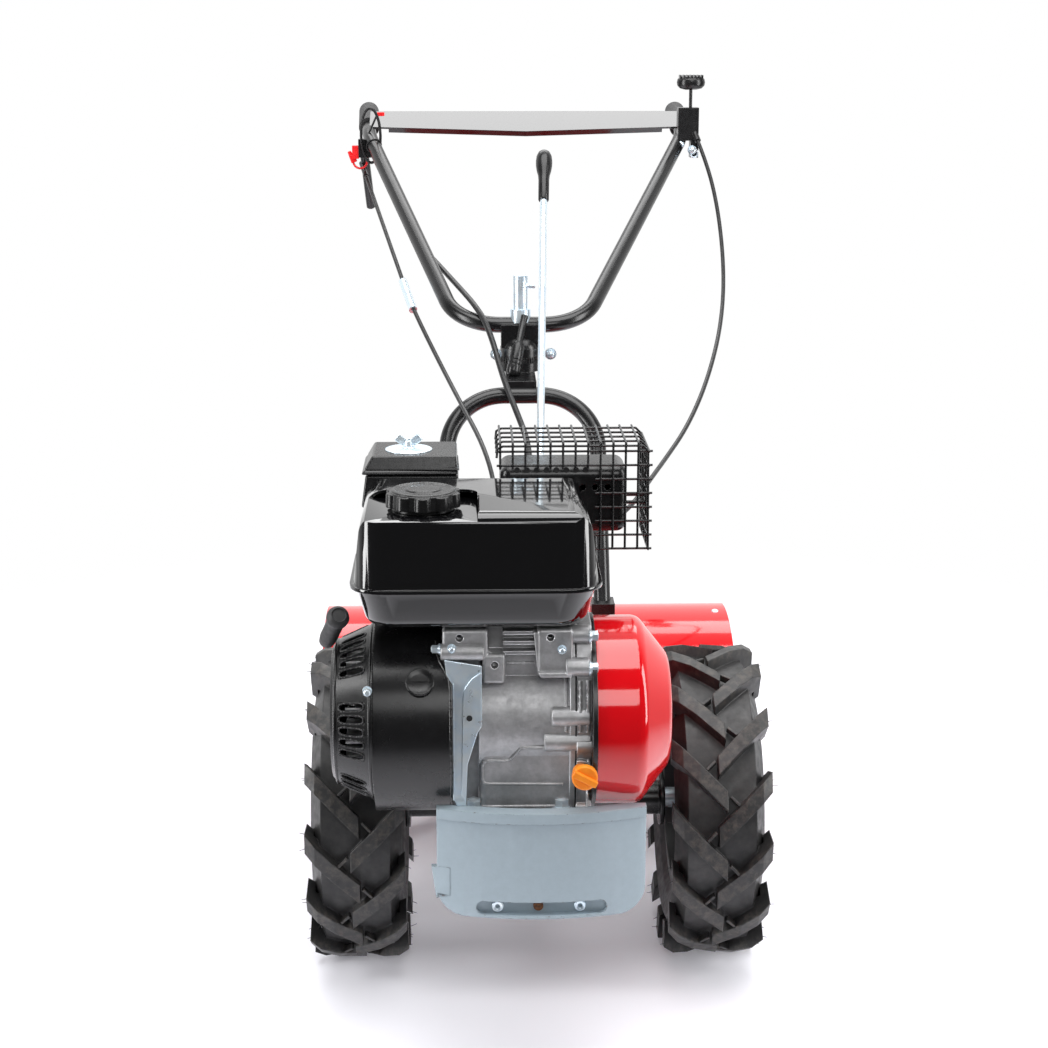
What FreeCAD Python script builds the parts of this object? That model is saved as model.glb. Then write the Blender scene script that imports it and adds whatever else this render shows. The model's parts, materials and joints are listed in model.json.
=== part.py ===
"""Walking garden tiller with a rear rotor, as a parametric FreeCAD document in millimetres.

+X is the machine's left, +Y its rear and +Z up. The origin is on the ground, under the
middle of the machine. Each sub-part is one object whose Label names its STEP file.
"""
import FreeCAD, Part
import Sketcher
import math
import os

Vector, Rotation, Placement = FreeCAD.Vector, FreeCAD.Rotation, FreeCAD.Placement

doc = FreeCAD.newDocument("garden_tiller")
sheet = doc.addObject("Spreadsheet::Sheet", "Sizes")


class Size:
    """A length: its value, and the expression that binds a property to it."""

    def __init__(self, value, text):
        self.value, self.text = float(value), text

    def __add__(self, other):
        other = as_size(other)
        return Size(self.value + other.value, f"({self.text} + {other.text})")

    def __sub__(self, other):
        other = as_size(other)
        return Size(self.value - other.value, f"({self.text} - {other.text})")

    def __mul__(self, factor):
        return Size(self.value * factor, f"({self.text} * {factor})")

    def __truediv__(self, divisor):
        return Size(self.value / divisor, f"({self.text} / {divisor})")

    def __neg__(self):
        return Size(-self.value, f"(-{self.text})")

    def __radd__(self, other):
        return as_size(other) + self

    def __rsub__(self, other):
        return as_size(other) - self

    __rmul__ = __mul__


def as_size(number):
    return number if isinstance(number, Size) else Size(number, f"({number})")


def as_number(size):
    return size.value if isinstance(size, Size) else float(size)


class Cells:
    """The driving dimensions, each a cell of the sheet with its name as alias."""

    def __init__(self):
        self.row = 0

    def __setattr__(self, name, value):
        super().__setattr__(name, value)
        if name != "row":
            self.row += 1
            sheet.set(f"A{self.row}", str(value))
            sheet.setAlias(f"A{self.row}", name)
            super().__setattr__(name, Size(value, f"Sizes.{name}"))


d = Cells()

# The whole machine: places along it are counted from the wheel axle
d.front_reach = 355
d.rear_reach = 1033
axle_y = (d.front_reach - d.rear_reach) / 2

# Wheels
d.tyre_radius = 190
d.lug_height = 15
d.lug_width = 17
d.tyre_width = 116
d.wheel_middle = 213.5
d.bead_radius = 102
d.rim_flange_radius = 111
d.rim_width = 84
d.hub_radius = 24
d.axle_radius = 12.5
d.axle_end = 262
d.running_gap = 0.05

# Engine
d.crank_ahead = 252
d.crank_height = 396
d.engine_base = 290
d.case_front = 325
d.case_rear = 180
d.case_right = -70
d.case_left = 34
d.case_top = 512
d.shroud_radius = 107
d.shroud_outer = -182
d.shroud_inner = -98
d.recoil_radius = 97
d.recoil_outer = -228
d.tank_middle = -72
d.tank_width = 257
d.tank_front = 345
d.tank_rear = 166
d.bowl_depth = 45
d.shell_height = 83
tank_seam = d.case_top + d.bowl_depth
tank_top = tank_seam + d.shell_height
d.cap_radius = 41
d.muffler_front = 150
d.muffler_rear = 76
d.guard_wire = 2.6

# Drive
d.cover_inner = 55
d.cover_outer = 138
d.cover_radius = 103
d.input_radius = 80
d.input_ahead = 30
d.input_height = 312
d.gearbox_half = 50
d.gearbox_rear = 110
d.gearbox_top = 305
d.axle_tube_radius = 24

# Rotor and hood
d.rotor_behind = 345
d.rotor_height = 150
d.rotor_radius = 145
d.shaft_radius = 14
d.hood_radius = 183
d.hood_half = 278
d.sheet_metal = 2
d.chain_case_half = 14
shaft_half = d.hood_half - 16

# Handles
d.tube_radius = 11
d.tube_wall = 2
d.arch_top_behind = 308
d.arch_top_height = 643
d.swivel_behind = 405
d.swivel_rise = 81
swivel_height = d.arch_top_height + d.swivel_rise


def behind(distance):
    """Y at a distance behind the wheel axle, or ahead of it when negative."""
    return axle_y + distance


crank_y = behind(-d.crank_ahead)
rotor_y = behind(d.rotor_behind)


# ---------------------------------------------------------------- ways of making pieces

ALONG = {
    "x": Rotation(Vector(0, 1, 0), 90),
    "y": Rotation(Vector(1, 0, 0), -90),
    "z": Rotation(),
}


def bind(obj, prop, size):
    obj.setExpression(prop, as_size(size).text)


def place(obj, x, y, z):
    for axis, size in zip("xyz", (x, y, z)):
        bind(obj, f"Placement.Base.{axis}", size)
    return obj


def block(name, x, y, z):
    """A box from the first to the second place on each axis."""
    box = doc.addObject("Part::Box", name)
    bind(box, "Length", x[1] - x[0])
    bind(box, "Width", y[1] - y[0])
    bind(box, "Height", z[1] - z[0])
    return place(box, x[0], y[0], z[0])


def soft_block(name, x, y, z, radius):
    """A box with every edge rounded."""
    body = new_body(name, x[0], y[0], z[0])
    length, width = x[1] - x[0], y[1] - y[0]
    solid = pad(body, polygon(body, "XY_Plane", [(0, 0), (length, 0), (length, width),
                                                 (0, width)]), z[1] - z[0])
    rounded(body, solid, radius, lambda e, m: True)
    return body


def rod(name, axis, start, radius, length):
    """A round bar that runs from its start along +axis."""
    bar = doc.addObject("Part::Cylinder", name)
    bar.Placement.Rotation = ALONG[axis]
    bind(bar, "Radius", radius)
    bind(bar, "Height", length)
    return place(bar, *start)


def joined(name, pieces):
    union = doc.addObject("Part::MultiFuse", name)
    union.Shapes = pieces
    union.Refine = True
    return union


def cut(name, base, tools):
    """The base with the tools taken away."""
    result = doc.addObject("Part::Cut", name)
    result.Base = base
    result.Tool = tools[0] if len(tools) == 1 else joined(name + "_tools", tools)
    result.Refine = True
    return result


def common(name, pieces):
    result = doc.addObject("Part::MultiCommon", name)
    result.Shapes = pieces
    return result


def together(name, pieces):
    """Pieces that don't touch, kept in one object."""
    group = doc.addObject("Part::Compound", name)
    group.Links = pieces
    return group


def origin_plane(body, role):
    return next(f for f in body.Origin.OriginFeatures if f.Role == role)


def new_body(name, x=0, y=0, z=0):
    body = doc.addObject("PartDesign::Body", name)
    place(body, x, y, z)
    return body


def new_sketch(body, role, offset=0):
    sketch = body.newObject("Sketcher::SketchObject", body.Name + "_sketch")
    sketch.AttachmentSupport = (origin_plane(body, role), [""])
    sketch.MapMode = "FlatFace"
    bind(sketch, "AttachmentOffset.Base.z", offset)
    return sketch


def hold(sketch, kind, *geometry, size):
    """Add one dimension to a sketch, bound to its size."""
    index = sketch.addConstraint(Sketcher.Constraint(kind, *geometry, as_number(size)))
    name = f"size{index}"
    sketch.renameConstraint(index, name)
    bind(sketch, "Constraints." + name, size)


def polygon(body, role, corners, offset=0):
    """A closed sketch with straight sides, every corner held by two dimensions."""
    sketch = new_sketch(body, role, offset)
    points = [Vector(as_number(a), as_number(b), 0) for a, b in corners]
    count = len(points)
    for i in range(count):
        sketch.addGeometry(Part.LineSegment(points[i], points[(i + 1) % count]), False)
    for i in range(count):
        sketch.addConstraint(Sketcher.Constraint("Coincident", i, 2, (i + 1) % count, 1))
    for i, (a, b) in enumerate(corners):
        hold(sketch, "DistanceX", -1, 1, i, 1, size=a)
        hold(sketch, "DistanceY", -1, 1, i, 1, size=b)
    return sketch


def belt_outline(body, role, first, first_radius, second, second_radius, offset=0):
    """A closed sketch of two round ends and the two straight runs that touch both."""
    sketch = new_sketch(body, role, offset)
    start = Vector(*map(as_number, first), 0)
    end = Vector(*map(as_number, second), 0)
    reach = end - start
    r1, r2 = as_number(first_radius), as_number(second_radius)
    heading = math.atan2(reach.y, reach.x)
    spread = math.acos((r1 - r2) / reach.Length)
    left, right = heading + spread, heading - spread

    def on(centre, radius, angle):
        return centre + Vector(math.cos(angle), math.sin(angle), 0) * radius

    up = Vector(0, 0, 1)
    sketch.addGeometry(Part.ArcOfCircle(Part.Circle(start, up, r1), left, right + 2 * math.pi))
    sketch.addGeometry(Part.LineSegment(on(start, r1, right), on(end, r2, right)))
    sketch.addGeometry(Part.ArcOfCircle(Part.Circle(end, up, r2), right, left))
    sketch.addGeometry(Part.LineSegment(on(end, r2, left), on(start, r1, left)))
    for one, one_end, other, other_end in ((0, 2, 1, 1), (1, 2, 2, 1), (2, 2, 3, 1), (3, 2, 0, 1)):
        sketch.addConstraint(Sketcher.Constraint("Tangent", one, one_end, other, other_end))
    for arc, centre, radius in ((0, first, first_radius), (2, second, second_radius)):
        hold(sketch, "DistanceX", -1, 1, arc, 3, size=centre[0])
        hold(sketch, "DistanceY", -1, 1, arc, 3, size=centre[1])
        hold(sketch, "Radius", arc, size=radius)
    return sketch


def pad(body, sketch, length, taper=0):
    feature = body.newObject("PartDesign::Pad", body.Name + "_pad")
    feature.Profile = sketch
    bind(feature, "Length", length)
    feature.TaperAngle = taper
    return feature


def revolved(body, sketch, axis="H_Axis"):
    feature = body.newObject("PartDesign::Revolution", body.Name + "_turn")
    feature.Profile = sketch
    feature.ReferenceAxis = (sketch, [axis])
    return feature


def rounded(body, feature, radius, wanted):
    """Round the feature's edges whose middle the test picks."""
    doc.recompute()
    names = [
        f"Edge{i}"
        for i, edge in enumerate(feature.Shape.Edges, 1)
        if wanted(edge, edge.valueAt((edge.FirstParameter + edge.LastParameter) / 2))
    ]
    fillet = body.newObject("PartDesign::Fillet", body.Name + "_round")
    fillet.Base = (feature, names)
    bind(fillet, "Radius", radius)
    return fillet


def runs_along(axis):
    """A test for straight edges parallel to an axis."""
    direction = {"x": Vector(1, 0, 0), "y": Vector(0, 1, 0), "z": Vector(0, 0, 1)}[axis]

    def test(edge, middle):
        span = edge.Vertexes[-1].Point - edge.Vertexes[0].Point
        return span.Length > 0 and abs(span.normalize().dot(direction)) > 0.999

    return test


def rounded_path(points, radii):
    """Straight runs between points, joined by tangent arcs of the radii at the inner ones."""
    points = [Vector(*map(as_number, p)) for p in points]
    edges, start = [], points[0]
    for before, corner, after, radius in zip(points, points[1:], points[2:], radii):
        arriving = (corner - before).normalize()
        leaving = (after - corner).normalize()
        half_turn = arriving.getAngle(leaving) / 2
        cut_back = radius * math.tan(half_turn)
        entry = corner - arriving * cut_back
        exit_ = corner + leaving * cut_back
        inward = (leaving - arriving).normalize()
        middle = corner + inward * radius * (1 / math.cos(half_turn) - 1)
        edges.append(Part.LineSegment(start, entry).toShape())
        edges.append(Part.Arc(entry, middle, exit_).toShape())
        start = exit_
    edges.append(Part.LineSegment(start, points[-1]).toShape())
    return Part.Wire(edges)


def swept(path, radius):
    first = path.Edges[0]
    tangent = first.tangentAt(first.FirstParameter)
    circle = Part.Circle(first.valueAt(first.FirstParameter), tangent, radius)
    return path.makePipeShell([Part.Wire(circle.toShape())], True, False)


def bent_tube(name, points, radii, radius, wall=None):
    """A bent round bar, or a tube when it has a wall."""
    path = rounded_path(points, radii)
    shape = swept(path, as_number(radius))
    if wall is not None:
        shape = shape.cut(swept(path, as_number(radius - wall)))
    feature = doc.addObject("Part::Feature", name)
    feature.Shape = shape
    return feature


def free_cord(name, points, radius):
    """A cord along its route, each arc as large as its two runs allow."""
    places = [Vector(*map(as_number, p)) for p in points]
    radii = []
    for before, corner, after in zip(places, places[1:], places[2:]):
        turn = (corner - before).getAngle(after - corner)
        shorter = min((corner - before).Length, (after - corner).Length)
        radii.append(0.45 * shorter / math.tan(turn / 2))
    cord = bent_tube(name, points, radii, radius)
    length = rounded_path(points, radii).Length
    volume = cord.Shape.Volume / (math.pi * radius ** 2 * length)
    print(f"{name}: length {length:.0f} mm, volume ratio {volume:.4f},",
          "radii", [round(r) for r in radii])
    return cord


subparts = []


def sub_part(node, obj):
    """Give a finished piece the label that names its file."""
    obj.Label = node
    if obj.Label != node:
        raise RuntimeError(f"the label {node} is already taken")
    subparts.append(obj)
    return obj


def slanted(start, end):
    """A placement at the start whose z axis points at the end."""
    start, end = Vector(*map(as_number, start)), Vector(*map(as_number, end))
    return Placement(start, Rotation(Vector(0, 0, 1), end - start))


def slanted_rod(name, start, end, radius):
    bar = doc.addObject("Part::Cylinder", name)
    bar.Placement = slanted(start, end)
    bind(bar, "Radius", radius)
    bar.Height = math.dist([as_number(a) for a in start], [as_number(b) for b in end])
    return bar


def ring(body, role, radius, bore, offset=0):
    """A sketch of two circles about the body's own axis."""
    sketch = new_sketch(body, role, offset)
    for index, size in enumerate((radius, bore)):
        sketch.addGeometry(Part.Circle(Vector(), Vector(0, 0, 1), as_number(size)))
        sketch.addConstraint(Sketcher.Constraint("Coincident", index, 3, -1, 1))
        hold(sketch, "Radius", index, size=size)
    return sketch


def mirrored_outline(half):
    """Both halves of a section, from the points of its right half in order."""
    return half + [(-x, y) for x, y in reversed(half)]


# ---------------------------------------------------------------- wheels and axles

lug_count, lug_angle = 14, 45


def tyre_lugs(name, middle, wheel_turn):
    """Bars in a chevron, one row to each side of the tread and half a pitch apart.

    A bar leaves the middle of the tread at an angle and hooks down over the shoulder. Its
    outline along the bar is pushed round the tyre, so that both its ends face along the axle.
    """
    lean, slant = math.radians(lug_angle), math.cos(math.radians(lug_angle))
    crown, half = as_number(d.tyre_radius), as_number(d.tyre_width) / 2
    inner_end, shoulder, hook = -5, half - 12, half - 9
    root, hook_foot, shoulder_drop = crown - 28, crown - 42, 11
    centre, half_along = (inner_end + half) / 2, as_number(d.lug_width) / slant / 2

    def top(across):
        return math.sqrt(crown ** 2 - (abs(across - centre) * math.tan(lean) + half_along) ** 2)

    profile = [(x, top(x)) for x in (inner_end, centre, shoulder)]
    profile += [(half, crown - shoulder_drop), (half - 1, hook_foot), (hook, hook_foot),
                (hook, root), (inner_end, root)]
    lugs = []
    for row, across in ((0, lug_angle), (1, 180 - lug_angle)):
        bar_turn = Rotation(Vector(0, 0, 1), across)
        for number in range(lug_count):
            turn = Rotation(Vector(1, 0, 0), wheel_turn + 360 / lug_count * (number + row / 2))
            start = Vector(0, -centre * math.tan(lean) - half_along, 0)
            lug = new_body(f"{name}_{row}_{number}", *(middle + turn * start))
            lug.Placement.Rotation = turn * bar_turn
            bar = pad(lug, polygon(lug, "XZ_Plane", [(x / slant, z) for x, z in profile]),
                      half_along * 2)
            bar.UseCustomVector, bar.AlongSketchNormal = True, False
            bar.Direction = bar_turn.inverted() * Vector(0, 1, 0)
            lugs.append(lug)
    return lugs


def wheel(side, sign, wheel_turn):
    middle = d.wheel_middle * sign
    seat = (middle, axle_y, d.tyre_radius)
    half_rim = d.rim_width / 2
    flange, wall = 3, 4

    half_width = d.tyre_width / 2
    carcass_half, crown = half_width - 5, d.tyre_radius - d.lug_height
    carcass = new_body(f"tyre_{side}_carcass", *seat)
    bead = [(half_rim - flange, d.rim_flange_radius), (half_rim - flange, d.bead_radius)]
    tread = [(carcass_half - 13, crown), (carcass_half, crown - 30),
             (carcass_half - 6, d.bead_radius + 24)] + bead
    cavity = [(half_rim - 10, d.bead_radius), (half_width - 17, d.bead_radius + 26),
              (half_width - 15, d.bead_radius + 44), (half_width - 26, crown - 18)]
    outside = tread[::-1] + [(-x, r) for x, r in tread]
    inside = [(-x, r) for x, r in cavity] + cavity[::-1]
    revolved(carcass, polygon(carcass, "XZ_Plane", outside + inside))
    lugs = tyre_lugs(f"lug_{side}", Vector(*map(as_number, seat)), wheel_turn)
    tyre = joined(f"tyre_{side}_joined", [carcass] + lugs)
    tyre.Refine = False  # refining this many small faces leaves it invalid
    sub_part(f"tyre_{side}", tyre)

    rim = new_body(f"rim_{side}_body", *seat)
    dish, half_hub = 3, 35
    section = mirrored_outline([
        (half_hub, d.axle_radius + d.running_gap), (half_hub, d.hub_radius),
        (dish, d.hub_radius), (dish, d.bead_radius - wall), (half_rim, d.bead_radius - wall),
        (half_rim, d.rim_flange_radius), (half_rim - flange, d.rim_flange_radius),
        (half_rim - flange, d.bead_radius),
    ])
    revolved(rim, polygon(rim, "XZ_Plane", section))
    sub_part(f"rim_{side}", rim)


axle_tube_end = 110


def axles():
    bars = [rod(f"axle_{side}_bar", "x", (start, axle_y, d.tyre_radius), d.axle_radius,
                d.axle_end - axle_tube_end)
            for side, start in (("left", axle_tube_end), ("right", -d.axle_end))]
    sub_part("axles", together("axle_pair", bars))


wheel("left", 1, -4)
wheel("right", -1, 4)
axles()


# ---------------------------------------------------------------- chassis and drive

rail_front, rail_rear = -300, -90
bumper_back = -324
bed_height = 10


cover_wall = 3


def bumper_weight():
    """A bowed casting with a lip along its top and a slot above its bottom flange."""
    middle, half_width = -3.5, 112.5
    bottom, top, lip_drop, lip_reach = 192, d.engine_base + 24, 12, 4
    bow, wall = 326, 14
    lower_corner, edge = 30, 3
    slot_half, slot_bottom, slot_radius = 62, 207, 8

    def bowed(name, radius, low, high):
        return rod(name, "z", (middle, behind(bow - d.front_reach), low), radius, high - low)

    outline = new_body("bumper_outline", middle, behind(bumper_back), 0)
    corners = [(-half_width, bottom), (half_width, bottom), (half_width, top),
               (-half_width, top)]
    slab = pad(outline, polygon(outline, "XZ_Plane", corners), d.front_reach + bumper_back)
    along_y = runs_along("y")
    rounded(outline, slab, lower_corner, lambda e, m: along_y(e, m) and m.z < bottom + 1)
    face = common("bumper_face", [
        joined("bumper_bows", [bowed("bumper_bow", bow - lip_reach, bottom, top),
                               bowed("bumper_lip", bow, top - lip_drop, top)]), outline])
    hollow = bowed("bumper_hollow", bow - lip_reach - wall, bottom + edge * 2, top)
    slot = [block("slot_bar", (middle - slot_half, middle + slot_half),
                  (behind(-360), behind(bumper_back)),
                  (slot_bottom - slot_radius, slot_bottom + slot_radius))]
    slot += [rod(f"slot_end_{name}", "y", (x, behind(-360), slot_bottom), slot_radius, 36)
             for name, x in (("right", middle - slot_half), ("left", middle + slot_half))]
    seat = common("bumper_seat", [
        block("seat_block", (d.case_right, 50), (behind(-350), behind(bumper_back)),
              (d.engine_base - 68, d.engine_base)),
        bowed("seat_bow", bow - lip_reach - 2, bottom, top)])
    wing = block("bumper_wing", (middle - half_width - 6, middle - half_width + 14),
                 (behind(-336), behind(bumper_back)), (214, 246))
    sub_part("bumper_weight", joined("bumper_joined",
                                     [cut("bumper_cut", face, [hollow] + slot), seat, wing]))


def chassis_rails():
    bottom = d.engine_base - 55
    bed_bottom = d.engine_base - bed_height
    rails = [block(f"rail_{name}", x, (behind(rail_front), behind(rail_rear)),
                   (bottom, bed_bottom))
             for name, x in (("right", (d.case_right + 2, d.case_right + 32)),
                             ("left", (18, 48)))]
    across = (d.case_right, 50)
    bed = block("engine_bed", across, (behind(rail_front), behind(-150)),
                (bed_bottom, d.engine_base))
    front = block("bumper_plate", across, (behind(bumper_back), behind(rail_front)),
                  (200, d.engine_base))
    rear = block("gearbox_plate", across, (behind(rail_rear), behind(-80)),
                 (215, d.engine_base))
    sub_part("chassis_rails", joined("rails_joined", rails + [bed, front, rear]))


def gearbox():
    half = d.gearbox_half
    across = (-half, half)
    wheel_case = rod("worm_case", "x", (-half, axle_y, d.tyre_radius), 72, half * 2)
    upper = block("upper_case", across, (behind(-80), behind(60)), (190, d.gearbox_top))
    tubes = rod("axle_tubes", "x", (-axle_tube_end, axle_y, d.tyre_radius),
                d.axle_tube_radius, 2 * axle_tube_end)
    nose = block("rear_nose", (-22, 22), (behind(40), behind(d.gearbox_rear)), (155, 245))
    boss = rod("input_boss", "x", (-half, behind(-d.input_ahead), d.input_height - 12), 28,
               half + d.cover_inner - 5)
    sub_part("gearbox", joined("gearbox_joined", [wheel_case, upper, tubes, nose, boss]))
    return subparts[-1]


def drive_outline(body, margin, offset):
    return belt_outline(body, "YZ_Plane",
                        (crank_y, d.crank_height), d.cover_radius + margin,
                        (behind(-d.input_ahead), d.input_height), d.input_radius + margin,
                        offset)


def belt_drum(name, margin, outer):
    """A solid in the belt's outline, its outer end coned and softly rounded."""
    cone_depth, cone_angle, shoulder_round, face_round = 34, 52, 16, 22
    body = new_body(name)
    shoulder = outer - cone_depth
    drum = pad(body, drive_outline(body, margin, d.cover_inner), shoulder - d.cover_inner)
    cone = pad(body, drive_outline(body, margin, shoulder), cone_depth, -cone_angle)
    crease, face = as_number(shoulder), as_number(outer)
    soft = rounded(body, cone, shoulder_round, lambda e, m: abs(m.x - crease) < 0.1)
    rounded(body, soft, face_round, lambda e, m: abs(m.x - face) < 0.1)
    return body


def belt_cover():
    """A pressed shell, open towards the back plate that it is bolted to."""
    outside = belt_drum("belt_cover_outside", 0, d.cover_outer)
    inside = belt_drum("belt_cover_inside", -cover_wall, d.cover_outer - cover_wall)
    sub_part("belt_cover", cut("belt_cover_cut", outside, [inside]))

    plate = new_body("belt_back_plate_body")
    thickness = 5
    pad(plate, drive_outline(plate, 3, d.cover_inner - thickness), thickness)
    sub_part("belt_back_plate", plate)


def chain_case():
    front_radius, rear_radius = 44, 40
    case = new_body("chain_case_body")
    sketch = belt_outline(case, "YZ_Plane", (behind(100), 200), front_radius,
                          (rotor_y, d.rotor_height), rear_radius, -d.chain_case_half)
    pad(case, sketch, d.chain_case_half * 2)
    across = (-d.chain_case_half * 2, d.chain_case_half * 2)
    room = block("gearbox_room", across, (behind(0), behind(d.gearbox_rear)), (100, 300))
    bore = rod("shaft_room", "x", (-30, rotor_y, d.rotor_height),
               d.shaft_radius + d.running_gap, 60)
    sub_part("chain_case", cut("chain_case_cut", case, [room, bore]))
    return case


bumper_weight()
chassis_rails()
gearbox_solid = gearbox()
belt_cover()
chain_case_solid = chain_case()


# ---------------------------------------------------------------- hood, flap and rear support

hood_front_angle, hood_rear_angle = 57, 75


def hood_cylinder(name, radius, half, angle=360):
    drum = rod(name, "x", (-half, rotor_y, d.rotor_height), radius, half * 2)
    drum.Placement.Rotation = (Rotation(Vector(1, 0, 0), 180 - hood_rear_angle)
                               * ALONG["x"])
    drum.Angle = angle
    return drum


def hood():
    """Rolled sheet with two end plates, carried by a bracket on the chain case."""
    inner = d.hood_radius - d.sheet_metal
    outside = hood_cylinder("hood_outside", d.hood_radius, d.hood_half,
                            hood_front_angle + hood_rear_angle)
    inside = hood_cylinder("hood_inside", inner, d.hood_half)
    pieces = [cut("hood_cut", outside, [inside])]

    front_edge, bottom = 198, 130
    for side, start in (("left", d.hood_half - d.sheet_metal), ("right", -d.hood_half)):
        disc = rod(f"hood_end_{side}_disc", "x", (start, rotor_y, d.rotor_height), inner,
                   d.sheet_metal)
        window = block(f"hood_end_{side}_window", (start, start + d.sheet_metal),
                       (behind(front_edge), behind(530)), (bottom, 340))
        pieces.append(common(f"hood_end_{side}", [disc, window]))

    post = block("bracket_post", (-d.chain_case_half, d.chain_case_half),
                 (behind(240), behind(310)), (150, 340))
    under = hood_cylinder("under_hood", inner, d.chain_case_half)
    pieces.append(cut("hood_bracket", common("bracket_top", [post, under]),
                      [chain_case_solid]))
    sub_part("hood", joined("hood_joined", pieces))


flap_axis_behind, flap_axis_height = 531, 194
flap_half = d.hood_half - 10
flap_bottom, flap_wall = 46, 3
hinge_pin_radius = 2.5


def rear_flap():
    y, z = behind(flap_axis_behind), flap_axis_height
    notch_half, notch_top = 26, 158
    knuckle_radius = 5.5
    sheet_ = block("flap_sheet", (-flap_half, flap_half), (y - flap_wall / 2, y + flap_wall / 2),
                   (flap_bottom, z))
    knuckle = rod("flap_knuckle", "x", (-flap_half, y, z), knuckle_radius, 2 * flap_half)
    notch = block("flap_notch", (-notch_half, notch_half), (y - 9, y + 9),
                  (flap_bottom - 1, notch_top))
    bore = rod("flap_bore", "x", (-flap_half - 1, y, z), hinge_pin_radius + d.running_gap,
               2 * flap_half + 2)
    sub_part("rear_flap",
             cut("flap_cut", joined("flap_joined", [sheet_, knuckle]), [notch, bore]))

    pin_half = d.hood_half - 2
    pin = rod("flap_pin_bar", "x", (-pin_half, y, z), hinge_pin_radius, pin_half * 2)
    hood_room = hood_cylinder("hood_room", d.hood_radius, d.hood_half)
    ears = []
    ear_inner, ear_outer = flap_half + 3, d.hood_half - 2
    for side, x in (("left", (ear_inner, ear_outer)), ("right", (-ear_outer, -ear_inner))):
        ears.append(block(f"flap_ear_{side}", x, (y - 14, y + 7), (z - 7, z + 8)))
    sub_part("flap_hinge", cut("flap_hinge_cut", joined("flap_hinge_joined", ears + [pin]),
                               [hood_room]))


def rear_support():
    """The hitch arm on the hood, and the depth spur on which the machine stands at rest."""
    arm_bottom, arm_top, half = 308, 340, 15
    sleeve = (572, 612)
    spur = (580, 604)
    sleeve_half, spur_half = 20, 6
    pin_height, pin_radius = 324, 5
    tongue_end, tongue_top, hitch_radius, hitch_behind = 660, 322, 8, 640

    arm = block("arm_bar", (-half, half), (behind(335), behind(sleeve[0])),
                (arm_bottom, arm_top))
    box = block("spur_sleeve", (-sleeve_half, sleeve_half),
                (behind(sleeve[0]), behind(sleeve[1])), (arm_bottom - 12, arm_top + 10))
    tongue = block("hitch_tongue", (-sleeve_half, sleeve_half),
                   (behind(sleeve[1]), behind(tongue_end)), (arm_bottom, tongue_top))
    hitch_hole = rod("hitch_hole", "z", (0, behind(hitch_behind), arm_bottom - 1), hitch_radius,
                     40)
    spur_room = block("spur_room", (-spur_half, spur_half), (behind(spur[0]), behind(spur[1])),
                      (200, 400))
    pin_room = rod("spur_pin_room", "x", (-50, behind(592), pin_height), pin_radius, 100)
    hood_room = hood_cylinder("arm_hood_room", d.hood_radius, d.hood_half)
    sub_part("hitch_arm", cut("hitch_arm_cut", joined("hitch_arm_joined", [arm, box, tongue]),
                              [hitch_hole, spur_room, pin_room, hood_room]))

    shoe_height = 10
    bar = block("spur_bar", (-spur_half, spur_half), (behind(spur[0]), behind(spur[1])),
                (shoe_height, 380))
    shoe = block("spur_shoe", (-18, 18), (behind(562), behind(622)), (0, shoe_height))
    pin = rod("spur_pin_bar", "x", (-30, behind(592), pin_height), pin_radius, 60)
    sub_part("depth_spur", joined("spur_joined", [bar, shoe, pin]))


hood()
rear_flap()
rear_support()


# ---------------------------------------------------------------- rotor

def tine_star(name, x, foot, turn):
    """Four L-shaped hoes on a sleeve; the feet point towards +x or -x."""
    blade, foot_reach = 8, 38
    arm_half, foot_half = 15, 17
    sleeve_radius, sleeve_half = 24, 14
    foot_inner, foot_outer = d.rotor_radius - 11, d.rotor_radius - 3
    star = new_body(f"tine_star_{name}", x, rotor_y, d.rotor_height)
    star.Placement.Rotation = Rotation(Vector(1, 0, 0), turn)
    sleeve = pad(star, ring(star, "YZ_Plane", sleeve_radius, d.shaft_radius, -sleeve_half),
                 2 * sleeve_half)
    arm = pad(star, polygon(star, "YZ_Plane",
                            [(-arm_half, d.shaft_radius + 6), (arm_half, d.shaft_radius + 6),
                             (arm_half, foot_outer), (-arm_half, foot_outer)]), blade)
    tip = pad(star, polygon(star, "YZ_Plane",
                            [(-foot_half, foot_inner), (foot_half, foot_inner),
                             (foot_half, foot_outer), (-foot_half, foot_outer)]), foot_reach)
    arm.Reversed = tip.Reversed = foot < 0
    pattern = star.newObject("PartDesign::PolarPattern", star.Name + "_four")
    pattern.Originals = [arm, tip]
    pattern.Axis = (next(f for f in star.Origin.OriginFeatures if f.Role == "X_Axis"), [""])
    pattern.Occurrences = 4
    star.Tip = pattern
    return star


def rotor():
    shaft = rod("rotor_bar", "x", (-shaft_half, rotor_y, d.rotor_height), d.shaft_radius,
                shaft_half * 2)
    sub_part("rotor_shaft", shaft)
    inner_star, outer_star, step = 62, shaft_half - 14, 22.5
    pitch = (outer_star - inner_star) / 3
    stars = [(inner_star, 1), (inner_star + pitch, 1), (inner_star + pitch * 2, 1),
             (outer_star, -1)]
    for side, sign, turn in (("left", 1, 0), ("right", -1, 45)):
        group = [tine_star(f"{side}_{number}", x * sign, sign * foot, turn + sign * number * step)
                 for number, (x, foot) in enumerate(stars)]
        sub_part(f"tines_{side}", together(f"tine_group_{side}", group))


rotor()


# ---------------------------------------------------------------- routes of the control cables

def ferrule(name, start, onward, length, radius):
    """A sleeve that ends square at a cord's start and runs back into its holder."""
    start, onward = (Vector(*map(as_number, p)) for p in (start, onward))
    back = start - (onward - start).normalize() * length
    return slanted_rod(name, tuple(back), tuple(start), radius)


def along(route):
    """A route's points, whose middle number counts from the wheel axle."""
    return [(x, behind(u), z) for x, u, z in route]


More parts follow.
